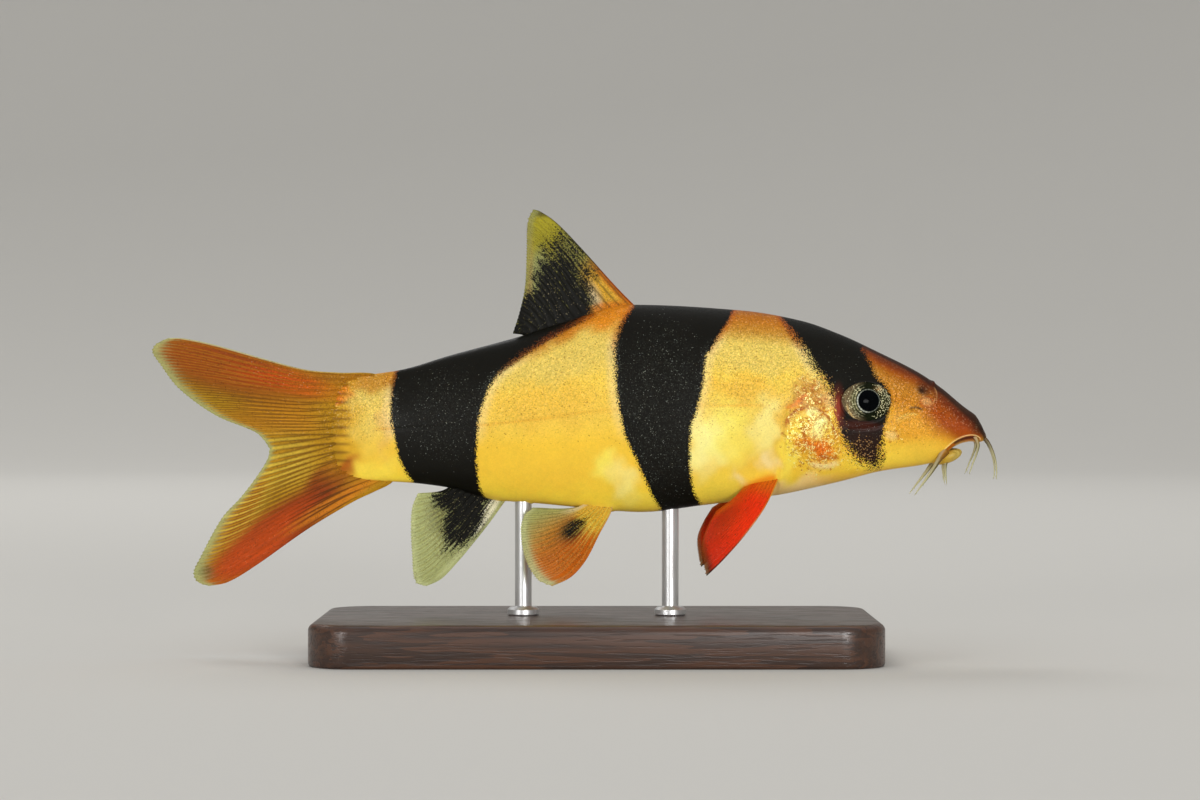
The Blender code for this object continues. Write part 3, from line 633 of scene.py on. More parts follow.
    embers: tuple[Tint, ...] = (
        Tint((13.4, -1.9), (3.1, 2.3), Paint.EMBER, 0.2),
        Tint((16.4, 2.0), (0.75, 2.5), Paint.MAROON, 0.9, 4, 0.9),
        Tint((16.4, 1.9), (0.36, 1.6), Paint.BRICK, 0.7, 4, 0.9),
        Tint((14.0, 0.55), (2.4, 0.5), Paint.MAROON, 0.35, 4, 1.0),
    )
    shines: tuple[Oval, ...] = (
        Oval((18.7, -0.7), (2.9, 3.3), 1.0, 0, 0.8),
        Oval((18.7, 3.8), (2.1, 2.0), 0.55, 0, 1.0),
        Oval((13.9, -2.5), (2.5, 1.5), 0.5, 0, 1.2),
        Oval((10.5, -0.5), (1.0, 0.9), 0.35, 0, 1.2),
    )
    rim: tuple[Pair, ...] = (  # (back, depth) of the dark rim along the top of the head
        (0.0, 1.5), (1.2, 1.4), (2.1, 1.2), (3.9, 0.95), (6.0, 0.8), (8.0, 0.6), (10.0, 0.5), (14.0, 0.4),
    )
    ray_gap: float = 0.9  # millimetres between two rays of the tail where they leave the skin
    ray_at: float = 0.31  # height of one of them
    ray_start: Pair = (68.0, 69.1)
    ray_strength: float = 0.64
    face: Pair = (17.0, 12.0)  # the face's own looks come in between these, from behind
    trunk: Pair = (17.0, 20.0)  # and the trunk's between these
    nape: Pair = (16.0, 13.5)  # where the head's dark rim ends
    dark_fringe: Pair = (42.0, 45.0)  # behind these the bands' rusty fringe is darker
    halo_strength: float = 0.3  # of the pale line beside the bands
    sparkle_line: float = 0.35  # sparkles are thickest so far inside a band's edge
    star_fields: tuple[Oval, ...] = (
        Oval((35.0, 2.0), (4.8, 8.6), 0.95, 0, 1.0),
        Oval((58.0, 1.6), (4.6, 4.6), 0.75, 0, 1.1),
        Oval((14.0, -1.6), (3.0, 2.6), 0.5),
        Oval((16.5, 6.5), (4.0, 2.0), 0.2),
    )

    def depth(self, spots: Array) -> Array:
        """How far inside the nearest dark band spots lie, in millimetres, negative outside."""
        return np.max([band.depth(spots) for band in self.bands], axis=0)

    def colour(self, spots: Array) -> Array:
        """Colour of the skin outside the bands."""
        level = self.plan.level(spots)
        depth = self.depth(spots)
        made = lay(paint_stops(self.levels, level), self.tints, self.ripple(spots))
        beside = fade(depth, -1.2, -0.3) * fade(spots[:, 0], *self.trunk)
        beside *= fade(level, 0.3, 0.5) * fade(level, 0.9, 0.8)
        made = Paint.PEARL.over(made, self.halo_strength * beside)
        rays = (0.5 + 0.5 * np.cos(2 * math.pi * (spots[:, 1] - self.ray_at) / self.ray_gap)) ** 3
        rays *= fade(spots[:, 0], *self.ray_start) * fade(spots[:, 1], -4.6, -3.4)
        made = Paint.UMBER_RAY.over(made, self.ray_strength * rays)
        behind = fade(spots[:, 0], *self.dark_fringe)
        fringe = fade(depth, 0.3 * behind - 0.7, 0.0) * fade(level, 0.72, 0.86)
        fringe *= fade(spots[:, 0], 19.0, 21.0)
        made = Paint.RUST.over(made, 0.6 * fringe)
        made = Paint.EMBER.over(made, 0.7 * fringe * behind)
        return Paint.UMBER.over(made, 0.9 * self.crown_rim(spots))

    def crown_rim(self, spots: Array) -> Array:
        """How far spots lie in the dark rim along the top of the head."""
        under = self.plan.section(spots[:, 0])[0] - spots[:, 1]
        rim = SmoothCurve(self.rim)(spots[:, 0])
        return fade(under, 1.25 * rim, 0.55 * rim) * fade(spots[:, 0], *self.nape)

    @staticmethod
    def ripple(spots: Array) -> Array:
        """The flank's chart pushed about, so that patches of colour aren't true ovals."""
        back, height = spots[:, 0], spots[:, 1]
        reach = 0.15 + 0.85 * fade(back, 10.0, 22.0)
        push = 0.4 * np.sin(1.7 * height + 0.9 * back + 0.4) + 0.22 * np.sin(3.1 * back - 2.3 * height)
        lift = 0.4 * np.sin(1.3 * back - 0.8 * height + 1.1) + 0.22 * np.sin(2.9 * height + 2.6 * back)
        return np.stack([back + reach * push, height + reach * lift], axis=-1)

    def softness(self, spots: Array) -> Array:
        """Over how many millimetres the bands' edges break into dots."""
        return self.edge_softness + strongest(self.soft_edges, spots[:, :2])

    def ink(self, spots: Array) -> Array:
        """Colour of the bands."""
        return lay(Paint.COAL.rows(len(spots)), self.embers, spots[:, :2])

    def fleck(self, spots: Array) -> Array:
        """How strongly dark and bright flecks show, strongest on the upper half and the cheek."""
        level = self.plan.level(spots)
        face = fade(spots[:, 0], *self.face)
        cheek = face * fade(level, 0.1, 0.45) * fade(level, 0.95, 0.75)
        crown = face * fade(level, 0.74, 0.92)
        rear = fade(spots[:, 0], 36.0, 40.0) * fade(spots[:, 0], 65.0, 61.0)
        snout = fade(spots[:, 0], 6.5, 3.0)
        made = 0.9 * fade(level, 0.25, 0.7) + 0.5 * cheek - 0.6 * crown + 0.6 * self.shine(spots)
        made *= 1 - 0.85 * self.crown_rim(spots)
        return np.clip(made * (1 - 0.25 * rear) * (1 - 0.45 * snout), 0.0, 1.5)

    def stars(self, spots: Array) -> Array:
        """How thickly sparkles lie on the bands."""
        level = self.plan.level(spots)
        inside = (self.depth(spots) - self.sparkle_line) / self.sparkle_line
        edge = np.exp(-(inside**2)) * fade(spots[:, 0], *self.trunk)
        edge *= 2.4 * fade(level, 0.4, 0.6) * fade(level, 0.86, 0.78)
        return strongest(self.star_fields, spots[:, :2], edge)

    def shine(self, spots: Array) -> Array:
        """How metallic the skin is."""
        return strongest(self.shines, spots[:, :2])


class Surface:
    """Makes mesh objects out of grids of places."""

    @staticmethod
    def grid_faces(rows: int, columns: int, wrap: bool, first: int = 0) -> Array:
        """Quads of a grid, row by row, closed across its columns where wrap is set."""
        row = np.arange(rows - 1)[:, None] * columns
        below = row + columns
        column = np.arange(columns if wrap else columns - 1)[None, :]
        after = (column + 1) % columns
        corners = [row + column, row + after, below + after, below + column]
        return np.stack(corners, axis=-1).reshape(-1, 4) + first

    @staticmethod
    def volume(points: Array, faces: list[tuple[int, ...]]) -> float:
        """Volume inside a closed mesh, negative where its faces point inwards."""
        total = 0.0
        for size in {len(face) for face in faces}:
            corners = points[np.array([face for face in faces if len(face) == size])]
            for k in range(1, size - 1):
                cross = np.cross(corners[:, k], corners[:, k + 1])
                total += float(np.einsum("ij,ij->", corners[:, 0], cross))
        return total

    @staticmethod
    def solid(name: str, points: Array, faces: Sequence[Sequence[int]]) -> Piece:
        """A smooth object of these places in metres, its faces turned outwards.

        Args:
            name: The piece's name.
            points: Places in metres, one a row.
            faces: Corners of each face.

        Returns:
            The object, linked to the scene.
        """
        faces = [tuple(int(corner) for corner in face) for face in faces]
        if Surface.volume(points, faces) < 0:
            faces = [face[::-1] for face in faces]
        return Surface.link(name, points, faces)

    @staticmethod
    def link(name: str, points: Array, faces: Sequence[Sequence[int]]) -> Piece:
        """A smooth object of these places and faces as they are, linked to the scene."""
        mesh = bpy.data.meshes.new(name)
        mesh.from_pydata(points.tolist(), [], faces)
        mesh.shade_smooth()
        made = bpy.data.objects.new(name, mesh)
        bpy.context.scene.collection.objects.link(made)
        return made

    @staticmethod
    def tube_parts(rings: Array) -> tuple[Array, list[Sequence[int]]]:
        """Points and faces of a closed tube.

        Args:
            rings: Its rings of places, each (around, 3).

        Returns:
            The points, one a row, with the middles of the two ends last, and the faces.
        """
        count, around, _ = rings.shape
        ends = np.stack([rings[0].mean(axis=0), rings[-1].mean(axis=0)])
        faces = Surface.grid_faces(count, around, wrap=True).tolist()
        last, tip = (count - 1) * around, count * around
        faces += [(tip, (k + 1) % around, k) for k in range(around)]
        faces += [(tip + 1, last + k, last + (k + 1) % around) for k in range(around)]
        return np.concatenate([rings.reshape(-1, 3), ends]), faces

    @staticmethod
    def tube(name: str, rings: Array) -> Piece:
        """A closed solid of rings of places in metres, with its ends filled."""
        return Surface.solid(name, *Surface.tube_parts(rings))

    @staticmethod
    def lathe(steps: Sequence[Pair], count: int, middle: Sequence[float] = (0.0, 0.0)) -> Array:
        """Rings of places round an upright axis.

        Args:
            steps: Radius and height of each ring.
            count: Places to a ring.
            middle: Where the axis stands.

        Returns:
            The rings, each (count, 3).
        """
        turns = turns_round(count)
        x, y = np.cos(turns), np.sin(turns)
        rings = [(middle[0] + r * x, middle[1] + r * y, np.full(count, z)) for r, z in steps]
        return np.array([np.stack(ring, axis=-1) for ring in rings])

    @staticmethod
    def shell(name: str, near: Array, far: Array) -> Piece:
        """A closed thin solid between two grids of places in metres, joined along their rims."""
        rows, columns, _ = near.shape
        under = rows * columns
        faces = Surface.grid_faces(rows, columns, wrap=False).tolist()
        faces += Surface.grid_faces(rows, columns, wrap=False, first=under)[:, ::-1].tolist()
        index = np.arange(under).reshape(rows, columns)
        rim = np.concatenate([index[0], index[1:, -1], index[-1, -2::-1], index[-2:0:-1, 0]])
        faces += [(b, a, under + a, under + b) for a, b in zip(rim, np.roll(rim, -1))]
        return Surface.solid(name, np.concatenate([near.reshape(-1, 3), far.reshape(-1, 3)]), faces)

    @staticmethod
    def write(piece: Piece, fields: dict[str, Array], again: Sequence[int] = ()) -> None:
        """Keeps fields on the piece's points: rows of three as colours, and single numbers as they are.

        Args:
            piece: The piece.
            fields: Values by the field's name.
            again: Rows whose values are repeated for the points after them.
        """
        repeated = np.array(again, int)
        for name, values in fields.items():
            values = np.asarray(values, np.float32)
            values = np.concatenate([values, values[repeated]])
            if values.ndim == 2:
                layer = piece.data.attributes.new(name, "FLOAT_COLOR", "POINT")
                values = np.concatenate([values, np.ones((len(values), 1), np.float32)], axis=1)
                layer.data.foreach_set("color", values.ravel())
            else:
                layer = piece.data.attributes.new(name, "FLOAT", "POINT")
                layer.data.foreach_set("value", values)

    @staticmethod
    def register(piece: Piece, finish: Finish, slot: str, *nodes: str) -> Piece:
        """Dresses a piece, fixes it to the fish's body and hides the solids that it replaces.

        Args:
            piece: The piece.
            finish: Its finish.
            slot: Not used.
            *nodes: The solids that it replaces.

        Returns:
            The piece.
        """
        piece.data.materials.append(finish.shared())
        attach(piece, "root")
        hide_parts(*nodes)
        log.info("%s: %d faces", piece.name, len(piece.data.polygons))
        return piece


class Wiring:
    """Wires one material's nodes with short calls."""

    def __init__(self, name: str) -> None:
        """Starts a material with a Principled shader."""
        self.material = bpy.data.materials.new(name)
        self.material.use_nodes = True
        self.tree = self.material.node_tree
        self.shader = self.tree.nodes["Principled BSDF"]
        self.output = self.tree.nodes["Material Output"]

    def put(self, socket: Socket, value: object) -> None:
        """Links a socket to another one, or sets its own value."""
        if isinstance(value, Socket):
            self.tree.links.new(value, socket)
        else:
            socket.default_value = value

    def node(
        self, kind: str, inputs: dict[str | int, object] | None = None, **settings: object
    ) -> bpy.types.Node:
        """Adds a node.

        Args:
            kind: The node's type, without its ShaderNode prefix.
            inputs: Values or sockets by the input's name or number.
            **settings: The node's own properties.

        Returns:
            The node.
        """
        made = self.tree.nodes.new(f"ShaderNode{kind}")
        for name, value in settings.items():
            setattr(made, name, value)
        for name, value in (inputs or {}).items():
            self.put(made.inputs[name], value)
        return made

    def math(self, operation: str, first: object, second: object = 0.0) -> Socket:
        """A sum, product or other operation on two numbers."""
        return self.node("Math", {0: first, 1: second}, operation=operation).outputs[0]

    def plus(self, first: object, *others: object) -> Socket:
        """The sum of two or more numbers."""
        for other in others:
            first = self.math("ADD", first, other)
        return first

    def times(self, first: object, second: object) -> Socket:
        """The product of two numbers."""
        return self.math("MULTIPLY", first, second)

    def parts_times(self, vector: object, factors: Place) -> Socket:
        """A vector or colour, each part multiplied by its own factor."""
        return self.node("VectorMath", {0: vector, 1: factors}, operation="MULTIPLY").outputs[0]

    def around(self, value: object, reach: object) -> Socket:
        """A number from 0 to 1 centred on 0 and stretched to this reach."""
        return self.times(self.math("SUBTRACT", value, 0.5), reach)

    def chance(self, value: object, share: object) -> Socket:
        """1 for this share of random numbers, and 0 for the others."""
        return self.math("GREATER_THAN", value, self.math("SUBTRACT", 1.0, share))

    def ramp(self, value: object, low: float, high: float, start: float = 0.0, end: float = 1.0) -> Socket:
        """A smooth step from start to end as a number goes from low to high."""
        inputs = {"Value": value, "From Min": low, "From Max": high, "To Min": start, "To Max": end}
        return self.node("MapRange", inputs, interpolation_type="SMOOTHSTEP").outputs["Result"]

    def mix(self, factor: object, first: object, second: object) -> Socket:
        """A mix of two colours."""
        inputs = {0: factor, 6: self.rgba(first), 7: self.rgba(second)}
        return self.node("Mix", inputs, data_type="RGBA").outputs[2]

    def scale(self, colour: object, factor: object) -> Socket:
        """A colour made brighter or darker."""
        return self.node("VectorMath", {0: colour, "Scale": factor}, operation="SCALE").outputs[0]

    def field(self, name: str, colour: bool = False) -> Socket:
        """A field kept on the piece's points."""
        found = self.node("Attribute", attribute_name=name)
        return found.outputs["Color" if colour else "Fac"]

    def coordinates(self, stretch: Place = (1.0, 1.0, 1.0)) -> Socket:
        """The piece's own coordinates in millimetres, stretched."""
        here = self.node("TexCoord").outputs["Object"]
        return self.parts_times(here, tuple(part / MM for part in stretch))

    def cells(self, size: float) -> list[Socket]:
        """Three random numbers for each cell of this size in millimetres, and how far its middle is away."""
        grain = self.node("TexVoronoi", {"Vector": self.coordinates(), "Scale": 1.0 / size})
        parts = self.node("SeparateColor", {0: grain.outputs["Color"]})
        return [*parts.outputs, grain.outputs["Distance"]]

    def noise(self, size: float, detail: float = 2.0, stretch: Place = (1.0, 1.0, 1.0)) -> Socket:
        """Soft noise with lumps of this size in millimetres."""
        inputs = {"Vector": self.coordinates(stretch), "Scale": 1.0 / size, "Detail": detail}
        return self.node("TexNoise", inputs).outputs["Fac"]

    def bump(self, height: object, depth: float, strength: float = 1.0) -> None:
        """Gives the shader a relief this deep, in millimetres."""
        made = self.node("Bump", {"Height": height, "Distance": depth * MM, "Strength": strength})
        self.put(self.shader.inputs["Normal"], made.outputs[0])

    def set(self, **values: object) -> None:
        """Sets the shader's inputs by their names in lower case, with _ for a space."""
        names = {name.lower().replace(" ", "_"): name for name in self.shader.inputs.keys()}
        for name, value in values.items():
            self.put(self.shader.inputs[names[name]], value)

    def lit_through(self, colour: object, share: float) -> Socket:
        """The shader, with this share of the light passing and scattering in this colour."""
        behind = self.node("BsdfTranslucent", {"Color": colour})
        inputs = {0: share, 1: self.shader.outputs[0], 2: behind.outputs[0]}
        return self.node("MixShader", inputs).outputs[0]

    @staticmethod
    def rgba(colour: object) -> object:
        """A paint as a socket's value. Anything else is left as it is."""
        return (*colour.linear, 1.0) if isinstance(colour, Paint) else colour


@dataclass(frozen=True)
class Finish:
    """A finish, whose material is made once and shared by its pieces."""

    name: str

    def shared(self) -> bpy.types.Material:
        """The finish's material, made if it isn't there yet."""
        if self.name not in bpy.data.materials:
            self.wire(Wiring(self.name))
        return bpy.data.materials[self.name]

    def wire(self, w: Wiring) -> None:
        """Wires the finish's new material."""
        raise NotImplementedError


@dataclass(frozen=True)
class SkinFinish(Finish):
    """Wet fish skin: gold grain, brown dots, black bands that break into dots, and white sparkles on them.

    The cells are in millimetres, and the shares are those of the cells that take a colour.
    """

    name: str = "loach_skin"
    peck: float = 0.085
    grain: float = 0.12
    dot: float = 0.13
    blotch: float = 0.26
    dot_share: float = 0.38
    speck_share: float = 0.06
    dot_strength: float = 0.65
    browning: Place = (0.52, 0.37, 0.22)
    pale_share: float = 0.13
    pale_strength: float = 0.55
    rust_strength: float = 0.6
    metal_strength: float = 0.75
    star_share: float = 0.12
    star_range: Pair = (0.05, 0.42)
    haze_strength: float = 0.012
    roughness: float = 0.45
    specular: float = 0.08
    coat: float = 0.02
    coat_roughness: float = 0.15
    flesh: float = 0.2
    flesh_depth: float = 0.6
    flesh_colours: Place = (1.0, 0.55, 0.25)

    def wire(self, w: Wiring) -> None:
        """Wires the skin's material, which reads the fields tint, ink, depth, fleck, stars and shine."""
        peck, spark, twinkle, apart = w.cells(self.peck)
        first, second, third, _ = w.cells(self.grain)
        pick, _, _, away = w.cells(self.dot)
        pale, rusty, _, _ = w.cells(self.blotch)
        fleck, shine, stars = w.field("fleck"), w.field("shine"), w.field("stars")
        patches, mottle = w.noise(2.4, 3.0), w.noise(0.5, 3.0)
        dotted = w.ramp(away, 0.46, 0.26)

        ragged = w.plus(w.around(patches, 0.3), w.around(mottle, 0.5))
        banded = w.ramp(w.plus(w.field("depth"), ragged, w.around(peck, 1.0)), -0.2, 0.2)

        dust = w.times(w.around(second, 0.42), w.plus(fleck, 0.16))
        cloud = w.plus(w.around(patches, 0.16), w.around(mottle, 0.12))
        base = w.scale(w.field("tint", colour=True), w.plus(dust, cloud, 1.0))
        dark = w.times(w.chance(pick, w.times(fleck, self.dot_share)), dotted)
        dark = w.math("MAXIMUM", dark, w.chance(third, w.times(fleck, self.speck_share)))
        base = w.mix(w.times(dark, self.dot_strength), base, w.parts_times(base, self.browning))
        lit = w.times(w.chance(first, self.pale_share), w.times(fleck, self.pale_strength))
        base = w.mix(lit, base, w.mix(0.25, w.scale(base, 1.4), Paint.PEARL))

        reddish = w.times(w.chance(rusty, w.times(shine, 0.4)), w.chance(second, 0.6))
        base = w.mix(w.times(reddish, self.rust_strength), base, Paint.RUST)
        metal = w.times(w.chance(pale, w.times(shine, 0.5)), w.chance(peck, 0.36))
        base = w.mix(w.times(metal, self.metal_strength), base, Paint.GLOW)

        bare = w.times(w.chance(spark, w.times(stars, self.star_share)), w.ramp(apart, 0.58, 0.34))
        glint = w.times(bare, w.ramp(w.math("POWER", twinkle, 3.0), 0.0, 1.0, *self.star_range))
        haze = w.times(w.chance(third, 0.3), w.times(stars, self.haze_strength))
        coal = w.mix(w.math("MAXIMUM", glint, haze), w.field("ink", colour=True), Paint.SILVER)
        warm = w.times(w.chance(second, w.times(shine, 0.36)), w.ramp(twinkle, 0.0, 1.0, 0.05, 0.8))
        w.set(
            base_color=w.mix(banded, base, w.mix(warm, coal, Paint.TAN)),
            roughness=w.plus(self.roughness, w.around(second, 0.2)),
            metallic=w.times(metal, 0.4),
            specular_ior_level=self.specular,
            coat_weight=self.coat,
            coat_roughness=self.coat_roughness,
            subsurface_weight=self.flesh,
            subsurface_radius=self.flesh_colours,
            subsurface_scale=self.flesh_depth * MM,
        )
        relief = w.plus(w.noise(0.4, 3.0), w.times(second, w.times(fleck, 0.3)))
        w.bump(relief, 0.03, 0.6)


@dataclass(frozen=True)
class FinFinish(Finish):
    """A thin wet membrane on rays, clear towards its edge, with dark pigment broken up along the rays."""

    name: str = "loach_fin"
    cell: float = 0.09
    roughness: float = 0.4
    specular: float = 0.15
    through: float = 0.36  # share of the light that passes and scatters
    long_streaks: Place = (3.2, 0.28, 1.0)
    short_streaks: Place = (5.0, 1.6, 1.0)
    clear_web: tuple[float, ...] = (0.9, 0.93, 0.72, 1.0)

    def wire(self, w: Wiring) -> None:
        """Wires the fins' material, which reads the fields tint, ink, cover, fleck, along and across."""
        first, second, spark, _ = w.cells(self.cell)
        fleck, ink = w.field("fleck"), w.field("ink")
        weave = w.node("CombineXYZ", {0: w.field("across"), 1: w.field("along"), 2: 0.0}).outputs[0]
        streaks = []
        for stretch in (self.long_streaks, self.short_streaks):
            inputs = {"Vector": w.parts_times(weave, stretch), "Scale": 1.0, "Detail": 2.0}
            streaks.append(w.node("TexNoise", inputs).outputs["Fac"])
        long, short = streaks

        broken = w.plus(w.around(long, 2.6), w.around(first, 1.3))
        inked = w.ramp(w.plus(w.times(ink, 2.4), broken), 0.8, 1.5)
        inked = w.times(inked, w.ramp(ink, 0.02, 0.15))
        dust = w.times(w.around(second, 0.5), fleck)
        shade = w.plus(w.around(short, 0.5), w.around(long, 0.4))
        base = w.scale(w.field("tint", colour=True), w.plus(dust, shade, 1.0))
        speck = w.times(w.chance(second, w.times(fleck, 0.2)), 0.55)
        base = w.mix(inked, w.mix(speck, base, Paint.UMBER_RAY), Paint.COAL)
        glint = w.times(w.chance(spark, 0.12), w.ramp(short, 0.58, 0.68))
        base = w.mix(w.times(glint, w.times(fleck, 0.6)), base, Paint.PEARL)
        w.set(base_color=base, roughness=self.roughness, specular_ior_level=self.specular)
        w.bump(w.plus(long, w.noise(0.25, 2.0)), 0.02, 0.4)

        lit = w.lit_through(base, self.through)
        cover = w.math("MAXIMUM", w.field("cover"), w.times(inked, 0.97))
        open_air = w.node("BsdfTransparent", {"Color": self.clear_web})
        seen = w.node("MixShader", {0: cover, 1: open_air.outputs[0], 2: lit})
        w.put(w.output.inputs["Surface"], seen.outputs[0])


@dataclass(frozen=True)
class EyeFinish(Finish):
    """A wet eye: its rings are fields, with glittering flecks on the iris under a clear coat."""

    name: str = "loach_eye"
    cell: float = 0.115
    bright_share: float = 0.5
    dim_share: float = 0.3
    coat: float = 0.03
    coat_roughness: float = 0.06

    def wire(self, w: Wiring) -> None:
        """Wires the eye's material, which reads the fields tint and fleck."""
        first, second, third, away = w.cells(self.cell)
        fleck = w.field("fleck")
        bright = w.times(w.chance(first, w.times(fleck, self.bright_share)), w.ramp(away, 0.6, 0.42))
        dim = w.times(w.chance(third, self.dim_share), w.times(fleck, -0.8))
        uneven = w.plus(w.around(second, 0.7), dim, 1.0)
        base = w.scale(w.field("tint", colour=True), uneven)
        w.set(
            base_color=w.mix(w.times(bright, 0.95), base, Paint.SPARK),
            roughness=0.35,
            specular_ior_level=0.0,
            coat_weight=self.coat,
            coat_roughness=self.coat_roughness,
        )


@dataclass(frozen=True)
class BarbelFinish(Finish):
    """Soft translucent flesh of the barbels and the lower lip."""

    name: str = "loach_barbel"
    roughness: float = 0.35
    specular: float = 0.3
    through: float = 0.4

    def wire(self, w: Wiring) -> None:
        """Wires the flesh's material, which reads the field tint."""
        tint = w.field("tint", colour=True)
        w.set(base_color=tint, roughness=self.roughness, specular_ior_level=self.specular)
        w.bump(w.noise(0.12, 2.0), 0.02, 0.5)
        w.put(w.output.inputs["Surface"], w.lit_through(tint, self.through))


@dataclass(frozen=True)
class WoodFinish(Finish):
    """Oiled walnut, its grain along the base."""

    name: str = "stand_walnut"
    along_grain: Place = (0.06, 1.0, 1.0)
    rings: float = 7.0
    coat: float = 0.25

    def wire(self, w: Wiring) -> None:
        """Wires the base's material."""
        rings = w.math("FRACT", w.times(w.noise(2.6, 4.0, self.along_grain), self.rings))
        grain = w.ramp(rings, 0.1, 0.95)
        pores = w.ramp(w.noise(0.22, 2.0, self.along_grain), 0.52, 0.66)
        base = w.mix(w.times(grain, 0.8), Paint.WALNUT, Paint.WALNUT_DARK)
        w.set(
            base_color=w.mix(w.times(pores, 0.55), base, Paint.WALNUT_DARK),
            roughness=w.ramp(pores, 0.0, 1.0, 0.34, 0.55),
            coat_weight=self.coat,
            coat_roughness=0.25,
        )
        w.bump(w.times(pores, -1.0), 0.03, 0.6)


@dataclass(frozen=True)
class SteelFinish(Finish):
    """Brushed steel rods."""

    name: str = "stand_steel"

    def wire(self, w: Wiring) -> None:
        """Wires the rods' material."""
        brushed = w.noise(0.08, 2.0, (1.0, 1.0, 0.08))
        roughness = w.ramp(brushed, 0.3, 0.7, 0.22, 0.38)
        w.set(base_color=Wiring.rgba(Paint.STEEL), metallic=1.0, roughness=roughness)
        w.bump(brushed, 0.005, 0.5)


@dataclass(frozen=True)
class StudioFinish(Finish):
    """Matt pale paper of the studio's floor."""

    name: str = "studio_paper"

    def wire(self, w: Wiring) -> None:
        """Wires the floor's material."""
        roughness = w.ramp(w.noise(30.0, 2.0), 0.3, 0.7, 0.7, 0.8)
        w.set(base_color=Wiring.rgba(Paint.STUDIO), roughness=roughness, specular_ior_level=0.0)


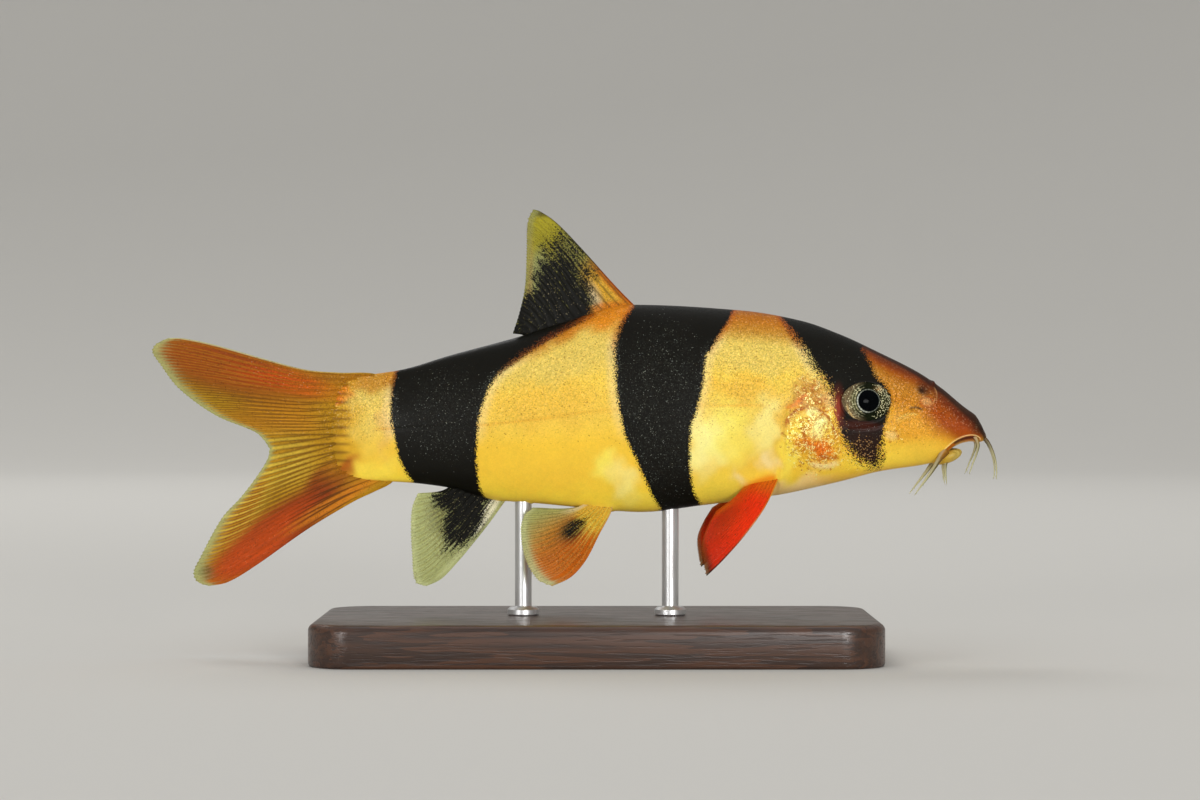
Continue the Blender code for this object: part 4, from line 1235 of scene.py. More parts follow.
@dataclass(frozen=True)
class Skin:
    """The skin of head, trunk and tail stem in one piece, with the head's relief."""

    plan: BodyPlan
    markings: Markings
    around: int = 256
    first_ring: float = 0.004
    ring_spacing: tuple[Pair, ...] = (
        (0.0, 0.012), (0.5, 0.04), (1.2, 0.06), (6.0, 0.07), (8.0, 0.1), (22.0, 0.12), (24.5, 0.3),
        (30.0, 0.46), (64.0, 0.46), (69.5, 0.25), (71.0, 0.1),
    )
    tail_bow: float = 0.05
    tail_round: float = 0.45  # the end of the stem is rounded over this length
    gill_edge: tuple[Pair, ...] = (
        (-6.5, 22.6), (-4.3, 22.4), (-1.6, 21.85), (0.0, 22.05), (1.6, 21.85), (3.8, 20.9), (6.0, 19.6),
    )
    gill_flare: float = 0.28
    gill_flare_length: float = 4.5
    gill_middle: float = -1.0  # the gill cover stands out round this height
    gill_half_height: float = 6.2
    gill_groove: Pair = (0.12, 0.13)  # depth and half width of the groove behind its edge
    traits: tuple[Trait, ...] = (
        # Upper lip: the pale fold, the crease over it, painted dark as painted shade, and the lip
        Line(
            (
                (4.7, -2.62), (4.0, -2.14), (3.3, -1.66), (2.6, -1.36), (1.9, -1.22), (1.3, -1.18),
                (0.9, -1.2),
            ),
            0.13, 0.1, Paint.BLUSH, 0.55, taper=0.05,
        ),
        # Painted shade: the crease over the pale fold is painted dark
        Line(
            (
                (4.55, -2.3), (3.85, -1.76), (3.3, -1.36), (2.6, -1.04), (1.9, -0.88), (1.35, -0.9),
                (0.95, -1.02),
            ),
            0.2, -0.17, Paint.EMBER, 0.95, taper=0.05, flat=1.4,
        ),
        Line(((4.6, -2.35), (4.0, -1.88), (3.5, -1.5)), 0.16, 0.0, Paint.COPPER, 0.75, taper=0.05),
        Line(
            (
                (4.95, -2.45), (4.54, -1.92), (3.99, -1.4), (3.44, -1.0), (2.65, -0.65), (1.87, -0.49),
                (1.24, -0.56), (0.8, -0.85), (0.75, -1.1),
            ),
            0.06, 0.09, Paint.BLUSH, 0.75, taper=0.03,
        ),
        # Roof of the mouth, painted dark as painted shade inside the mouth
        Line(((2.0, -1.35, 0.0), (4.4, -2.5, 0.0)), 0.85, -0.2, Paint.EMBER, 0.95, taper=0.0, flat=2.0),
        # Nostrils, their two hollows painted dark as painted shade
        Spot((6.75, 4.5), (1.0, 0.72), -0.1, Paint.EMBER, 0.75, turn=30, flat=1.2),
        Spot((7.05, 4.35), (0.46, 0.38), -0.2, Paint.UMBER, 0.85, turn=30, flat=1.3),
        Spot((6.1, 3.65), (0.4, 0.5), 0.08, Paint.BACK_DEEP, 0.7),
        Spot((6.65, 3.05), (0.66, 0.42), 0.2, Paint.TAN, 0.8, turn=33, flat=1.4),
        Ring((6.65, 3.05), (0.66, 0.54), 0.09, -0.05, Paint.RUST, 0.5),
        Line(((5.75, 4.7), (5.5, 3.9), (5.58, 3.1)), 0.06, 0.12, Paint.TAN, 0.4),
        Line(((6.2, 2.7), (5.9, 2.95), (5.75, 3.3), (5.5, 3.35)), 0.06, 0.1, Paint.TAN, 0.6),
        Spot((5.8, 5.0), (0.22, 0.3), 0.22, Paint.EMBER, 0.8),
        Line(
            ((8.6, 2.25), (8.1, 2.45), (7.5, 2.4), (7.0, 2.15)),
            0.1, -0.12, Paint.UMBER, 0.95, taper=0.15,
        ),
        # Folds of the cheek
        Line(
            ((10.2, 0.8), (9.6, 1.35), (8.9, 1.65), (8.1, 1.75), (7.4, 1.6)),
            0.09, 0.07, Paint.CREAM, 0.7,
        ),
        Line(((10.1, 0.4), (9.5, 1.0), (8.8, 1.35), (8.1, 1.45)), 0.07, 0.05, Paint.CREAM, 0.4),
        # Rim of the eye
        Ring((13.3, 3.0), (2.86, 2.24), 0.16, 0.12),
        Ring((13.3, 3.0), (2.6, 2.0), 0.12, -0.12, Paint.UMBER, 0.8),
        # Slit of the spine under the eye
        Line(
            ((15.6, 0.0), (14.6, 0.12), (13.2, 0.22), (11.9, 0.45), (10.8, 0.9)),
            0.1, -0.16, Paint.UMBER, 0.9,
        ),
        Line(((15.2, 0.3), (13.6, 0.4), (12.2, 0.6), (11.2, 1.0)), 0.07, 0.03, Paint.TAN, 0.6),
        Line(((15.95, -0.05), (15.4, 0.08), (14.9, 0.02)), 0.08, 0.06, Paint.PEARL, 0.9, taper=0.1),
        # Bones of the gill cover
        Line(((21.95, 0.1), (21.7, 1.2), (20.7, 2.15), (19.3, 2.45)), 0.17, -0.07, Paint.RUST, 0.95),
        Line(
            ((19.6, 2.45), (18.4, 2.25), (17.3, 1.4), (16.65, 0.0), (16.2, -1.4)),
            0.16, -0.08, Paint.RUST, 0.85,
        ),
        Line(
            ((20.1, -0.8), (18.5, -1.55), (17.3, -2.2), (16.0, -2.8)),
            0.42, 0.05, Paint.FLAME, 0.3, flat=0.7,
        ),
        Line(((18.6, -2.5), (17.3, -2.95), (15.9, -2.85)), 0.22, -0.04, Paint.RUST, 0.75),
        Line(((19.5, -3.5), (17.5, -3.8), (15.8, -3.3)), 0.32, 0.04, Paint.PEARL, 0.55),
        Line(((21.3, -2.6), (19.8, -4.1), (17.8, -4.4)), 0.25, -0.04),
        Spot((18.7, 0.2), (1.9, 1.9), 0.1),
        Spot((18.4, -2.0), (2.0, 0.8), 0.05, turn=25),
        # Lateral line
        Line(
            ((23.5, 2.6), (32.0, 2.7), (41.0, 2.1), (54.0, 0.6), (66.0, 0.1)),
            0.13, -0.03, Paint.AMBER, 0.5, taper=0.03,
        ),
        # Fleshy roots of the fins and the vent
        Spot((24.0, -5.4), (2.0, 1.0), 0.25, turn=-14),
        Line(
            ((22.8, -4.75), (23.7, -4.8), (24.7, -5.15), (25.7, -5.75), (26.6, -6.5)),
            0.6, 0.0, Paint.HONEY, 0.8, taper=0.1,
        ),
        Line(
            ((22.7, -5.0), (23.6, -5.05), (24.6, -5.4), (25.7, -6.05), (26.6, -6.8)),
            0.42, 0.0, Paint.ORANGE, 0.95, taper=0.1, flat=1.2,
        ),
        Line(((37.5, 13.6, 0.0), (43.0, 12.4, 0.0), (50.0, 10.2, 0.0)), 0.7, 0.12),
        Line(((39.6, -8.3, 1.2), (42.6, -8.2, 0.9)), 0.9, 0.25),
        Line(((48.9, -8.0, 0.0), (50.4, -7.8, 0.0)), 0.55, 0.34, Paint.CREAM, 0.6),
        Line(((51.5, -7.6, 0.0), (56.5, -6.6, 0.0)), 0.6, 0.14),
    )

    @cached_property
    def stations(self) -> Array:
        """How far back each ring lies."""
        spacing = SmoothCurve(self.ring_spacing)
        made = [self.first_ring]
        while made[-1] < self.plan.length + self.tail_round:
            made.append(made[-1] + float(spacing(made[-1])))
        made[-1] = self.plan.length + self.tail_round
        return np.array(made)

    def bare(self) -> Array:
        """Places of the smooth body, ring by ring."""
        station, turn = np.meshgrid(self.stations, turns_round(self.around, 0.5), indexing="ij")
        straight = self.plan.surface(station, turn)
        bow = self.tail_bow * (station / self.plan.length) ** 3
        made = self.plan.surface(station - bow * straight[..., 1] ** 2, turn)
        past = np.clip((station - self.plan.length) / self.tail_round, 0.0, 1.0)
        made[..., 2] *= np.sqrt(1 - 0.99 * past**2)
        return made

    def gill_lift(self, spots: Array) -> Array:
        """How far the gill cover stands out, with the groove behind its edge."""
        depth, half_width = self.gill_groove
        ahead = SmoothCurve(self.gill_edge)(spots[:, 1]) - spots[:, 0]
        tall = np.clip(1 - ((spots[:, 1] - self.gill_middle) / self.gill_half_height) ** 2, 0.0, 1.0)
        cover = np.clip(1 - ahead / self.gill_flare_length, 0.0, 1.0) ** 2 * fade(ahead, -0.12, 0.1)
        groove = np.exp(-(((ahead + 0.14) / half_width) ** 2))
        return (self.gill_flare * cover - depth * groove) * tall

    def build(self) -> Piece:
        """Makes and dresses the skin."""
        grid = self.bare()
        along = np.gradient(grid, axis=0)
        around = np.roll(grid, -1, axis=1) - np.roll(grid, 1, axis=1)
        normals = normalised(np.cross(around, along))
        out = np.sign((normals[..., 2] * grid[..., 2]).sum())

        spots = grid.reshape(-1, 3).copy()
        spots[:, 2] = np.abs(spots[:, 2])
        lift = self.gill_lift(spots)
        tint = self.markings.colour(spots)
        for trait in self.traits:
            weight = trait.weight(spots)
            lift += trait.rise * weight
            if trait.paint:
                tint = trait.paint.over(tint, weight * trait.strength)
        raised = grid + out * normals * lift.reshape(grid.shape[:2])[..., None]

        piece = Surface.tube("skin", self.plan.place(raised))
        fields = {
            "tint": tint,
            "ink": self.markings.ink(spots),
            "depth": self.markings.depth(spots) / self.markings.softness(spots),
            "fleck": self.markings.fleck(spots),
            "stars": self.markings.stars(spots),
            "shine": self.markings.shine(spots),
        }
        Surface.write(piece, fields, again=TUBE_ENDS)
        return Surface.register(piece, SkinFinish(), "skin", "head", "trunk", "tail_stem")


@dataclass(frozen=True)
class LowerLip:
    """The two fleshy lobes of the lower lip, under the mouth."""

    plan: BodyPlan
    centre: Place = (4.25, -2.82, 0.0)
    radii: Place = (1.58, 0.76, 1.62)
    lean: float = 0.3  # how much the lobes' front ends rise
    rings: int = 64
    around: int = 96

    def build(self) -> Piece:
        """Makes and dresses the lobes."""
        polar = np.linspace(0.01, math.pi - 0.01, self.rings)[:, None]
        turn = turns_round(self.around)[None, :]
        ahead = np.broadcast_to(-np.cos(polar), (self.rings, self.around))
        unit = np.stack([ahead, np.sin(polar) * np.sin(turn), np.sin(polar) * np.cos(turn)], axis=-1)
        side = unit[..., 2]
        cleft = np.exp(-((side / 0.17) ** 2)) * fade(unit[..., 0], 0.7, -0.6)
        wrinkle = 0.03 * np.sin(26 * side) * fade(unit[..., 0], 0.2, -0.7)
        lobes = 0.06 * np.exp(-(((np.abs(side) - 0.55) / 0.3) ** 2))
        spread = (1 - 0.26 * cleft + wrinkle + lobes)[..., None]
        spots = np.array(self.centre) + unit * spread * np.array(self.radii)
        spots[..., 1] -= self.lean * (spots[..., 0] - self.centre[0])
        piece = Surface.tube("lower_lip", self.plan.place(spots))
        Surface.write(piece, {"tint": self.colours(*unit.reshape(-1, 3).T)}, again=TUBE_ENDS)
        return Surface.register(piece, BarbelFinish(), "skin", "head")

    @staticmethod
    def colours(back: Array, up: Array, side: Array) -> Array:
        """Colours of places on the lobes, from their middle and in shares of their radii."""
        tint = Paint.CREAM.rows(len(back))
        tint = Paint.HONEY.over(tint, 0.9 * fade(back, -0.7, 0.4))
        tint = Paint.TAN.over(tint, 0.7 * np.exp(-((side / 0.2) ** 2)) * fade(up, 0.4, -0.2))
        return Paint.EMBER.over(tint, 0.8 * fade(up, 0.5, 0.9))


@dataclass(frozen=True)
class Eye:
    """One eyeball, with its pupil, silver ring and mottled iris."""

    plan: BodyPlan
    word: str
    side: int
    spot: Pair = (13.3, 3.0)
    radii: Place = (2.95, 2.22, 1.5)  # along the fish, upwards and outwards
    sunk: float = 0.7
    turn: float = 9.0  # degrees that the eye looks forwards
    pupil_shift: Pair = (-0.07, 0.17)
    pupil: float = 1.12
    ring: float = 1.2
    iris: float = 2.1
    bulge: float = 0.1  # of the clear front over the pupil
    arc_spacing: float = 0.27  # between the broken arcs on the iris
    rings: int = 150
    around: int = 220

    def build(self) -> Piece:
        """Makes and dresses the eyeball."""
        polar = math.pi * np.linspace(0.002, 0.999, self.rings)[:, None] ** 1.25
        turn = turns_round(self.around)[None, :]
        reach = np.sin(polar)
        unit = np.stack([reach * np.cos(turn), reach * np.sin(turn), np.cos(polar) + 0 * turn], axis=-1)
        local = unit * np.array(self.radii)
        bulge = self.bulge * np.exp(-((np.hypot(local[..., 0], local[..., 1]) / 1.3) ** 4))
        local[..., 2] += bulge * (unit[..., 2] > 0)

        lean = math.radians(self.turn)
        back = local[..., 0] * math.cos(lean) - local[..., 2] * math.sin(lean)
        out = local[..., 2] * math.cos(lean) + local[..., 0] * math.sin(lean)
        out = self.side * (float(self.plan.flank(*self.spot)) - self.sunk + out)
        spots = np.stack([self.spot[0] + back, self.spot[1] + local[..., 1], out], axis=-1)
        piece = Surface.tube(f"eyeball_{self.word}", self.plan.place(spots))
        tint, fleck = self.rings_and_flecks(local.reshape(-1, 3))
        Surface.write(piece, {"tint": tint, "fleck": fleck}, again=TUBE_ENDS)
        return Surface.register(piece, EyeFinish(), "eye", f"eye_{self.word}")

    def rings_and_flecks(self, local: Array) -> tuple[Array, Array]:
        """Colours of the eye.

        Args:
            local: Places from the eye's middle, along the fish, upwards and outwards, one a row.

        Returns:
            The colour of each place, and how strongly its flecks show.
        """
        x, y = local[:, 0] - self.pupil_shift[0], local[:, 1] - self.pupil_shift[1]
        reach, facing = np.hypot(x, y), np.arctan2(y, x)
        rear, front, level = np.cos(facing), -np.cos(facing), np.abs(np.sin(facing))
        tint = Paint.PINE.rows(len(local))
        sides = fade(level, 0.88, 0.35)
        outer = fade(reach, self.ring, self.ring + 0.3)
        tint = Paint.LICHEN.over(tint, (0.14 + 0.2 * fade(rear, 0.0, 0.5)) * sides * outer)
        rim = fade(reach, self.iris - 0.45, self.iris + 0.05)
        tint = Paint.MIST.over(tint, 0.75 * rim * fade(rear, -0.1, 0.7))
        number = (reach - self.ring) / self.arc_spacing
        arcs = (0.5 + 0.5 * np.cos(2 * math.pi * number)) ** 3
        lap = np.floor(number + 0.5)
        broken = 0.55 + 0.25 * np.sin(17 * facing + 5 * lap) + 0.2 * np.sin(29 * facing + 2.3 * lap)
        fading = fade(reach, 2.3, 1.5) * fade(reach, 1.3, 1.42)
        tint = Paint.SPARK.over(tint, 0.9 * arcs * broken * fade(rear, 0.15, 0.6) * fading)
        gold = np.exp(-(((x + 1.3) / 0.4) ** 2 + ((y - 1.25) / 0.28) ** 2))
        tint = Paint.TAN.over(tint, 0.6 * gold)
        lid = np.exp(-(((reach - 2.3) / 0.08) ** 2)) * fade(-y, 0.1, 0.9) * fade(rear, 0.2, 0.6)
        tint = Paint.BLUSH.over(tint, 0.75 * lid)
        dashes = 0.75 + 0.25 * np.cos(23 * facing)
        bright = 0.35 + 0.65 * fade(np.cos(facing + 0.4), -0.1, 0.9)
        silver = np.exp(-(((reach - self.ring) / (0.025 + 0.045 * bright)) ** 2)) * dashes * bright
        tint = Paint.SILVER.over(tint, silver)
        tint = Paint.JET.over(tint, fade(reach, self.pupil + 0.06, self.pupil))
        speckled = fade(front, 0.25, 0.7) * (0.6 + 0.4 * fade(y, -1.2, 0.2)) + 0.28 * fade(rear, 0.2, 0.7)
        fleck = np.clip(speckled, 0.02, 1.0) * fade(reach, self.ring + 0.08, self.ring + 0.25)
        return tint, fleck


@dataclass(frozen=True)
class Barbel:
    """One feeler of the mouth, with a darker front and wisps near its tip."""

    plan: BodyPlan
    name: str
    side: int
    line: tuple[Place, ...]
    dark: float  # how dark its front edge is
    root_radius: float
    tip_radius: float = 0.035
    root_swell: float = 0.3
    rings: int = 90
    around: int = 20
    flatness: float = 0.85  # height of its section over its width
    wisps: int = 7
    wisp_span: Pair = (0.58, 0.97)  # shares of its length between which the wisps grow
    wisp_length: Pair = (0.25, 0.55)
    wisp_radius: float = 0.035
    wisp_scatter: float = 0.55

    def build(self) -> Piece:
        """Makes and dresses the barbel."""
        line = SpaceLine([(back, height, self.side * out) for back, height, out in self.line])
        points, faces = Surface.tube_parts(self.rings_on(line))
        chance = np.random.default_rng(len(self.name))
        for at in np.linspace(*self.wisp_span, self.wisps):
            foot = len(points)
            points = np.concatenate([points, self.wisp(line, at, chance)])
            faces.append((foot, foot + 2, foot + 1))
            faces += [(foot + a, foot + b, foot + 3) for a, b in ((0, 1), (1, 2), (2, 0))]
        piece = Surface.solid(f"{self.name}_flesh", self.plan.place(points), faces)
        Surface.write(piece, {"tint": self.colours(points, line)})
        return Surface.register(piece, BarbelFinish(), "barbel", self.name)

    def rings_on(self, line: SpaceLine) -> Array:
        """Rings of places round the barbel's middle line."""
        share = np.linspace(0.0, 1.0, self.rings)
        middle = line(share)
        radii = self.root_radius + (self.tip_radius - self.root_radius) * share**0.75
        radii *= 1 + 0.03 * np.sin(share * 60) + self.root_swell * fade(share, 0.22, 0.0)
        radii[-3:] *= (0.85, 0.6, 0.3)
        turn = turns_round(self.around)[None, :, None]
        ahead = normalised(np.gradient(middle, axis=0))
        level = normalised(np.cross(ahead, (0.0, 0.0, 1.0)))
        upright = np.cross(level, ahead)
        ring = np.cos(turn) * level[:, None] + self.flatness * np.sin(turn) * upright[:, None]
        return middle[:, None] + ring * radii[:, None, None]

    def wisp(self, line: SpaceLine, at: float, chance: np.random.Generator) -> Array:
        """One wisp.

        Args:
            line: The barbel's middle line.
            at: Share of the line's length where the wisp grows.
            chance: Gives its way and length.

        Returns:
            The three corners of its foot and its tip.
        """
        spread = chance.uniform(-1, 1, 3)
        base, ahead = line(np.array([at, min(at + 0.02, 1.0)]))
        way = ahead - base
        way = way / max(np.linalg.norm(way), 1e-6) + self.wisp_scatter * spread
        tip = base + way / np.linalg.norm(way) * chance.uniform(*self.wisp_length)
        foot = base + self.wisp_radius * np.array([(1, 0, 0), (-0.5, 0.87, 0), (-0.5, -0.87, 0)])
        return np.concatenate([foot, tip[None]])

    def colours(self, points: Array, line: SpaceLine) -> Array:
        """Colours of places on the barbel, dark in front, with a painted highlight along its rear side, and
        clear towards its tip.
        """
        gap, run = line_distance(points, line(np.linspace(0, 1, 40)))
        front = fade(-(points[:, 0] - line(run)[:, 0]) / np.maximum(gap, 0.02), 0.1, 0.9)
        tint = Paint.REED.over(Paint.AMBER.rows(len(points)), fade(run, 0.08, 0.35))
        tint = Paint.CLEAR.over(tint, 0.75 * fade(run, 0.3, 0.8))
        # Painted highlight: a pale strand along the barbel's rear side
        tint = Paint.BONE.over(tint, 0.6 * fade(-front, -0.15, 0.0))
        tint = Paint.UMBER_RAY.over(tint, self.dark * front * fade(run, 0.95, 0.45))
        return Paint.UMBER.over(tint, max(2 * self.dark - 1, 0) * fade(run, 0.5, 0.1))


@dataclass(frozen=True)
class Web:
    """One sheet of a fin, by the four lines that bound it.

    lead is the front edge from the root to the tip, trail the last ray from the root to its tip, margin the
    free edge between their tips, and root the line inside the body between their roots. margin and root leave
    their end points out. crowding over 1 draws the front rays' tips together at the fin's tip.
    """

    lead: tuple[Sequence[float], ...]
    margin: tuple[Sequence[float], ...]
    trail: tuple[Sequence[float], ...]
    root: tuple[Sequence[float], ...]
    rays: int
    plain_rays: int
    crowding: float = 1.0

    def at(self, across: Array, out: Array) -> Array:
        """Places on the sheet at each share across it and each share out from its root."""
        lead, trail = self.line(*self.lead), self.line(*self.trail)
        root = self.line(self.lead[0], *self.root, self.trail[0])(across)
        margin = self.line(self.lead[-1], *self.margin, self.trail[-1])(across**self.crowding)
        a, o = across[..., None], out[..., None]
        corners = (
            (1 - a) * (1 - o) * lead.points[0]
            + a * (1 - o) * trail.points[0]
            + (1 - a) * o * lead.points[-1]
            + a * o * trail.points[-1]
        )
        return (1 - a) * lead(out) + a * trail(out) + (1 - o) * root + o * margin - corners

    @staticmethod
    def line(*places: Sequence[float]) -> SpaceLine:
        """A line through places, whose side is 0 where it is left out."""
        return SpaceLine([(*place, 0.0)[:3] for place in places])


class Chart(Enum):
    """Which two numbers a fin's ovals of colour are laid out on."""

    FLANK = "back and height"
    FIN = "across and out"


@dataclass(frozen=True)
class FinLook:
    """Colours of a fin: ovals of colour on all of it, between its rays and on them, of ink and of clear web.

    lead_stops are (out, paint) along the front edge.
    """

    chart: Chart
    base: Paint
    ray_paint: Paint
    ray_strength: float
    tints: tuple[Tint, ...]
    lead_stops: tuple[tuple[float, Paint], ...]
    gap_tints: tuple[Tint, ...] = ()
    ray_tints: tuple[Tint, ...] = ()
    inks: tuple[Oval, ...] = ()
    clears: tuple[Oval, ...] = ()
    flecks: tuple[Oval, ...] = ()
    lead_width: float = 0.35  # in rays
    lead_strength: float = 0.85
    edge: Paint = Paint.CLEAR
    edge_from: float = 0.96
    edge_strength: float = 0.8
    cover: float = 0.92
    ray_from: Pair = (0.02, 0.15)  # shares out over which the rays' own colour starts
    ray_gaps: float = 0.0  # how much the ink parts over the rays


@dataclass(frozen=True)
class Fin:
    """A fin: a thin membrane with branched rays raised on both faces, and a scalloped free edge."""

    plan: BodyPlan
    name: str
    slot: str
    nodes: tuple[str, ...]
    webs: tuple[Web, ...]
    look: FinLook
    side: int = 1
    columns: int = 18  # columns of points to each ray
    rows: int = 110
    web_root: float = 0.34
    web_edge: float = 0.09
    swell: float = 0.3  # more thickness at the fleshy root
    swell_reach: float = 0.14
    ray_lift: float = 0.075
    ray_edge_lift: float = 0.035
    ray_width: float = 0.14  # of the space between two rays
    forks: tuple[Pair, ...] = ((0.14, 0.55), (0.45, 0.9))
    scallop: float = 0.012
    rim: Pair = (0.3, 0.02)  # rays and share out over which the edges are rounded
    rim_thickness: float = 0.25  # share of the thickness that is left at the edges

    def grid(self) -> tuple[Array, Array, Array, Array]:
        """Lays the membrane out.

        Returns:
            Places (columns, rows, 3), each point's ray number with its fraction, its share out, and whether
            its ray branches.
        """
        places, units, outs, branched = [], [], [], []
        done = 0
        for number, web in enumerate(self.webs):
            unit = np.linspace(0, web.rays, web.rays * self.columns + 1)
            if number:  # a second web runs back from the ray that it shares with the first
                unit = unit[::-1]
            out = np.linspace(0.0, 1.0, self.rows) ** 0.9
            u, o = np.meshgrid(unit, out, indexing="ij")
            ridge = self.ridge(u, o, u >= web.plain_rays)
            trimmed = o * (1 - self.scallop * (1 - ridge) * fade(o, 0.6, 1.0))
            made = web.at(u / web.rays, trimmed)
            count = u if not number else done + web.rays - u
            first = 1 if number else 0
            places.append(made[first:])
            units.append(count[first:])
            outs.append(o[first:])
            branched.append((u >= web.plain_rays)[first:])
            done += web.rays
        return tuple(np.concatenate(part) for part in (places, units, outs, branched))

    def ridge(self, unit: Array, out: Array, branched: Array) -> Array:
        """How much of a ray each point takes, from 0 between rays to 1 on one.

        Args:
            unit: Ray number with its fraction. A ray's middle lies at a half.
            out: Share out from the root.
            branched: Whether the ray branches.

        Returns:
            The rays' relief, with each branched ray parted in two and then in four.
        """
        away = np.abs(unit - np.floor(unit) - 0.5)
        for (start, end), spread in zip(self.forks, (0.25, 0.125)):
            away = np.abs(away - spread * fade(out, start, end) * branched)
        width = self.ray_width * (1 - 0.55 * out)
        return np.exp(-((away / width) ** 2))

    def build(self) -> Piece:
        """Makes and dresses the fin."""
        spots, unit, out, branched = self.grid()
        total = unit.max()
        ridge = self.ridge(np.clip(unit, 0, total - 1e-6), out, branched)
        normals = normalised(np.cross(np.gradient(spots, axis=0), np.gradient(spots, axis=1)))
        edge = np.minimum(np.minimum(unit, total - unit) / self.rim[0], (1 - out) / self.rim[1])
        rounded = self.rim_thickness + (1 - self.rim_thickness) * np.sqrt(np.clip(edge, 0.0, 1.0))
        flesh = self.swell * np.clip(1 - out / self.swell_reach, 0.0, 1.0) ** 2
        web = self.web_root + (self.web_edge - self.web_root) * out**0.7
        lift = self.ray_lift + (self.ray_edge_lift - self.ray_lift) * out
        half = ((web / 2 + lift * ridge) * rounded + flesh)[..., None]
        flip = np.array((1, 1, self.side))
        near, far = (self.plan.place((spots + normals * reach) * flip) for reach in (half, -half))
        piece = Surface.shell(f"{self.name}_web", near, far)
        fields = self.colours(spots.reshape(-1, 3), unit.ravel(), out.ravel(), ridge.ravel())
        Surface.write(piece, fields, again=range(out.size))
        return Surface.register(piece, FinFinish(), self.slot, *self.nodes)

    def colours(self, spots: Array, unit: Array, out: Array, ridge: Array) -> dict[str, Array]:
        """Fields of one face of the fin.

        Args:
            spots: Places on the membrane, one a row.
            unit: Ray number with its fraction.
            out: Share out from the root.
            ridge: How much of a ray each point takes.

        Returns:
            The fields that the fins' material reads.
        """
        look = self.look
        chart = spots[:, :2] if look.chart is Chart.FLANK else np.stack([unit / unit.max(), out], axis=-1)
        tint = lay(look.base.rows(len(spots)), look.tints, chart)
        tint = look.ray_paint.over(tint, look.ray_strength * ridge * fade(out, *look.ray_from))
        between = fade(np.abs(np.abs(unit - np.floor(unit) - 0.5) - 0.25), 0.05, 0.2)
        outer = fade(out, 0.3, 0.6)
        gaps = (1 - ridge) * (1 - outer) + between * (1 - 0.4 * ridge) * outer
        tint = lay(lay(tint, look.gap_tints, chart, gaps), look.ray_tints, chart, ridge)
        free = fade(out, look.edge_from - 0.03 - 0.07 * ridge, look.edge_from + 0.02)
        tint = look.edge.over(tint, look.edge_strength * free)
        lead = look.lead_strength * fade(unit, look.lead_width, 0.4 * look.lead_width)
        tint = blend(tint, paint_stops(look.lead_stops, out), lead)
        ink = strongest(look.inks, chart) * (1 - look.ray_gaps * ridge * fade(out, 0.1, 0.3))
        clear = strongest(look.clears, chart, 0.75 * free)
        fleck = strongest(look.flecks, chart, 0.25)
        cover = np.maximum(look.cover * (1 - clear) + clear * (0.4 + 0.35 * ridge), lead)
        return {"tint": tint, "ink": ink, "cover": cover, "fleck": fleck, "across": unit, "along": 20 * out}


DORSAL_WEB = Web(
    lead=(
        (36.9, 12.6), (38.0, 13.6), (40.0, 15.65), (43.3, 19.3), (46.2, 22.3), (48.0, 23.55),
        (48.9, 23.8),
    ),
    margin=((49.4, 22.7), (49.5, 19.0), (49.65, 15.5), (50.2, 12.8)),
    trail=((48.9, 9.3), (49.8, 10.2), (50.95, 10.4)),
    root=((43.0, 11.3),),
    rays=12, plain_rays=3, crowding=1.6,
)
DORSAL_LOOK = FinLook(
    chart=Chart.FLANK, base=Paint.MOSS, ray_paint=Paint.SMOKE, ray_strength=0.35,
    tints=(
        Tint((47.8, 21.4), (2.2, 2.8), Paint.OLIVE, 0.9, 0, 1.0),
        Tint((48.3, 16.9), (1.0, 2.4), Paint.LEAF, 0.7, 10, 1.0),
        Tint((49.4, 17.0), (0.6, 6.0), Paint.TAN, 0.5, 0, 1.2),
        Tint((40.3, 14.9), (3.8, 1.9), Paint.AMBER, 1.0, 46),
        Tint((40.7, 14.7), (3.4, 1.1), Paint.HONEY, 0.75, 46, 1.2),
        Tint((39.7, 15.2), (3.6, 0.5), Paint.COPPER, 0.8, 46, 1.0),
        Tint((42.0, 14.0), (1.7, 0.6), Paint.BONE, 0.7, 71, 1.4),
        Tint((40.6, 12.9), (3.2, 0.9), Paint.ORANGE, 0.9, -8),
        Tint((48.5, 23.6), (1.3, 0.5), Paint.UMBER, 0.85, 14, 1.2),
    ),
    ray_tints=(Tint((41.2, 15.2), (3.6, 2.4), Paint.UMBER_RAY, 0.4, 46),),
    inks=(
        Oval((46.9, 12.5), (4.7, 3.3), 1.0, -24, 0.6),
        Oval((46.0, 16.2), (3.0, 2.8), 0.95, -30, 1.1),
        Oval((49.0, 10.9), (2.4, 1.5), 1.0, -30, 0.5),
        Oval((45.5, 19.0), (2.6, 2.6), 0.65, -40, 1.3),
        Oval((43.0, 17.3), (1.7, 1.0), 0.55, 46, 1.2),
        Oval((44.1, 15.9), (2.0, 1.5), 0.75, 60, 1.2),
    ),
    clears=(
        Oval((49.4, 17.5), (0.4, 6.4), 0.5, -2),
        Oval((48.0, 17.3), (1.1, 2.4), 0.45, 0, 1.0),
        Oval((48.0, 21.6), (1.6, 2.2), 0.25),
    ),
    flecks=(Oval((44.0, 15.5), (5.5, 5.5), 0.9),),
    lead_stops=(
        (0.0, Paint.RUST), (0.3, Paint.SNOUT), (0.42, Paint.EMBER), (0.52, Paint.COAL), (0.96, Paint.UMBER),
        (1.0, Paint.SMOKE),
    ),
    edge=Paint.MOSS,
    ray_gaps=0.2,
)
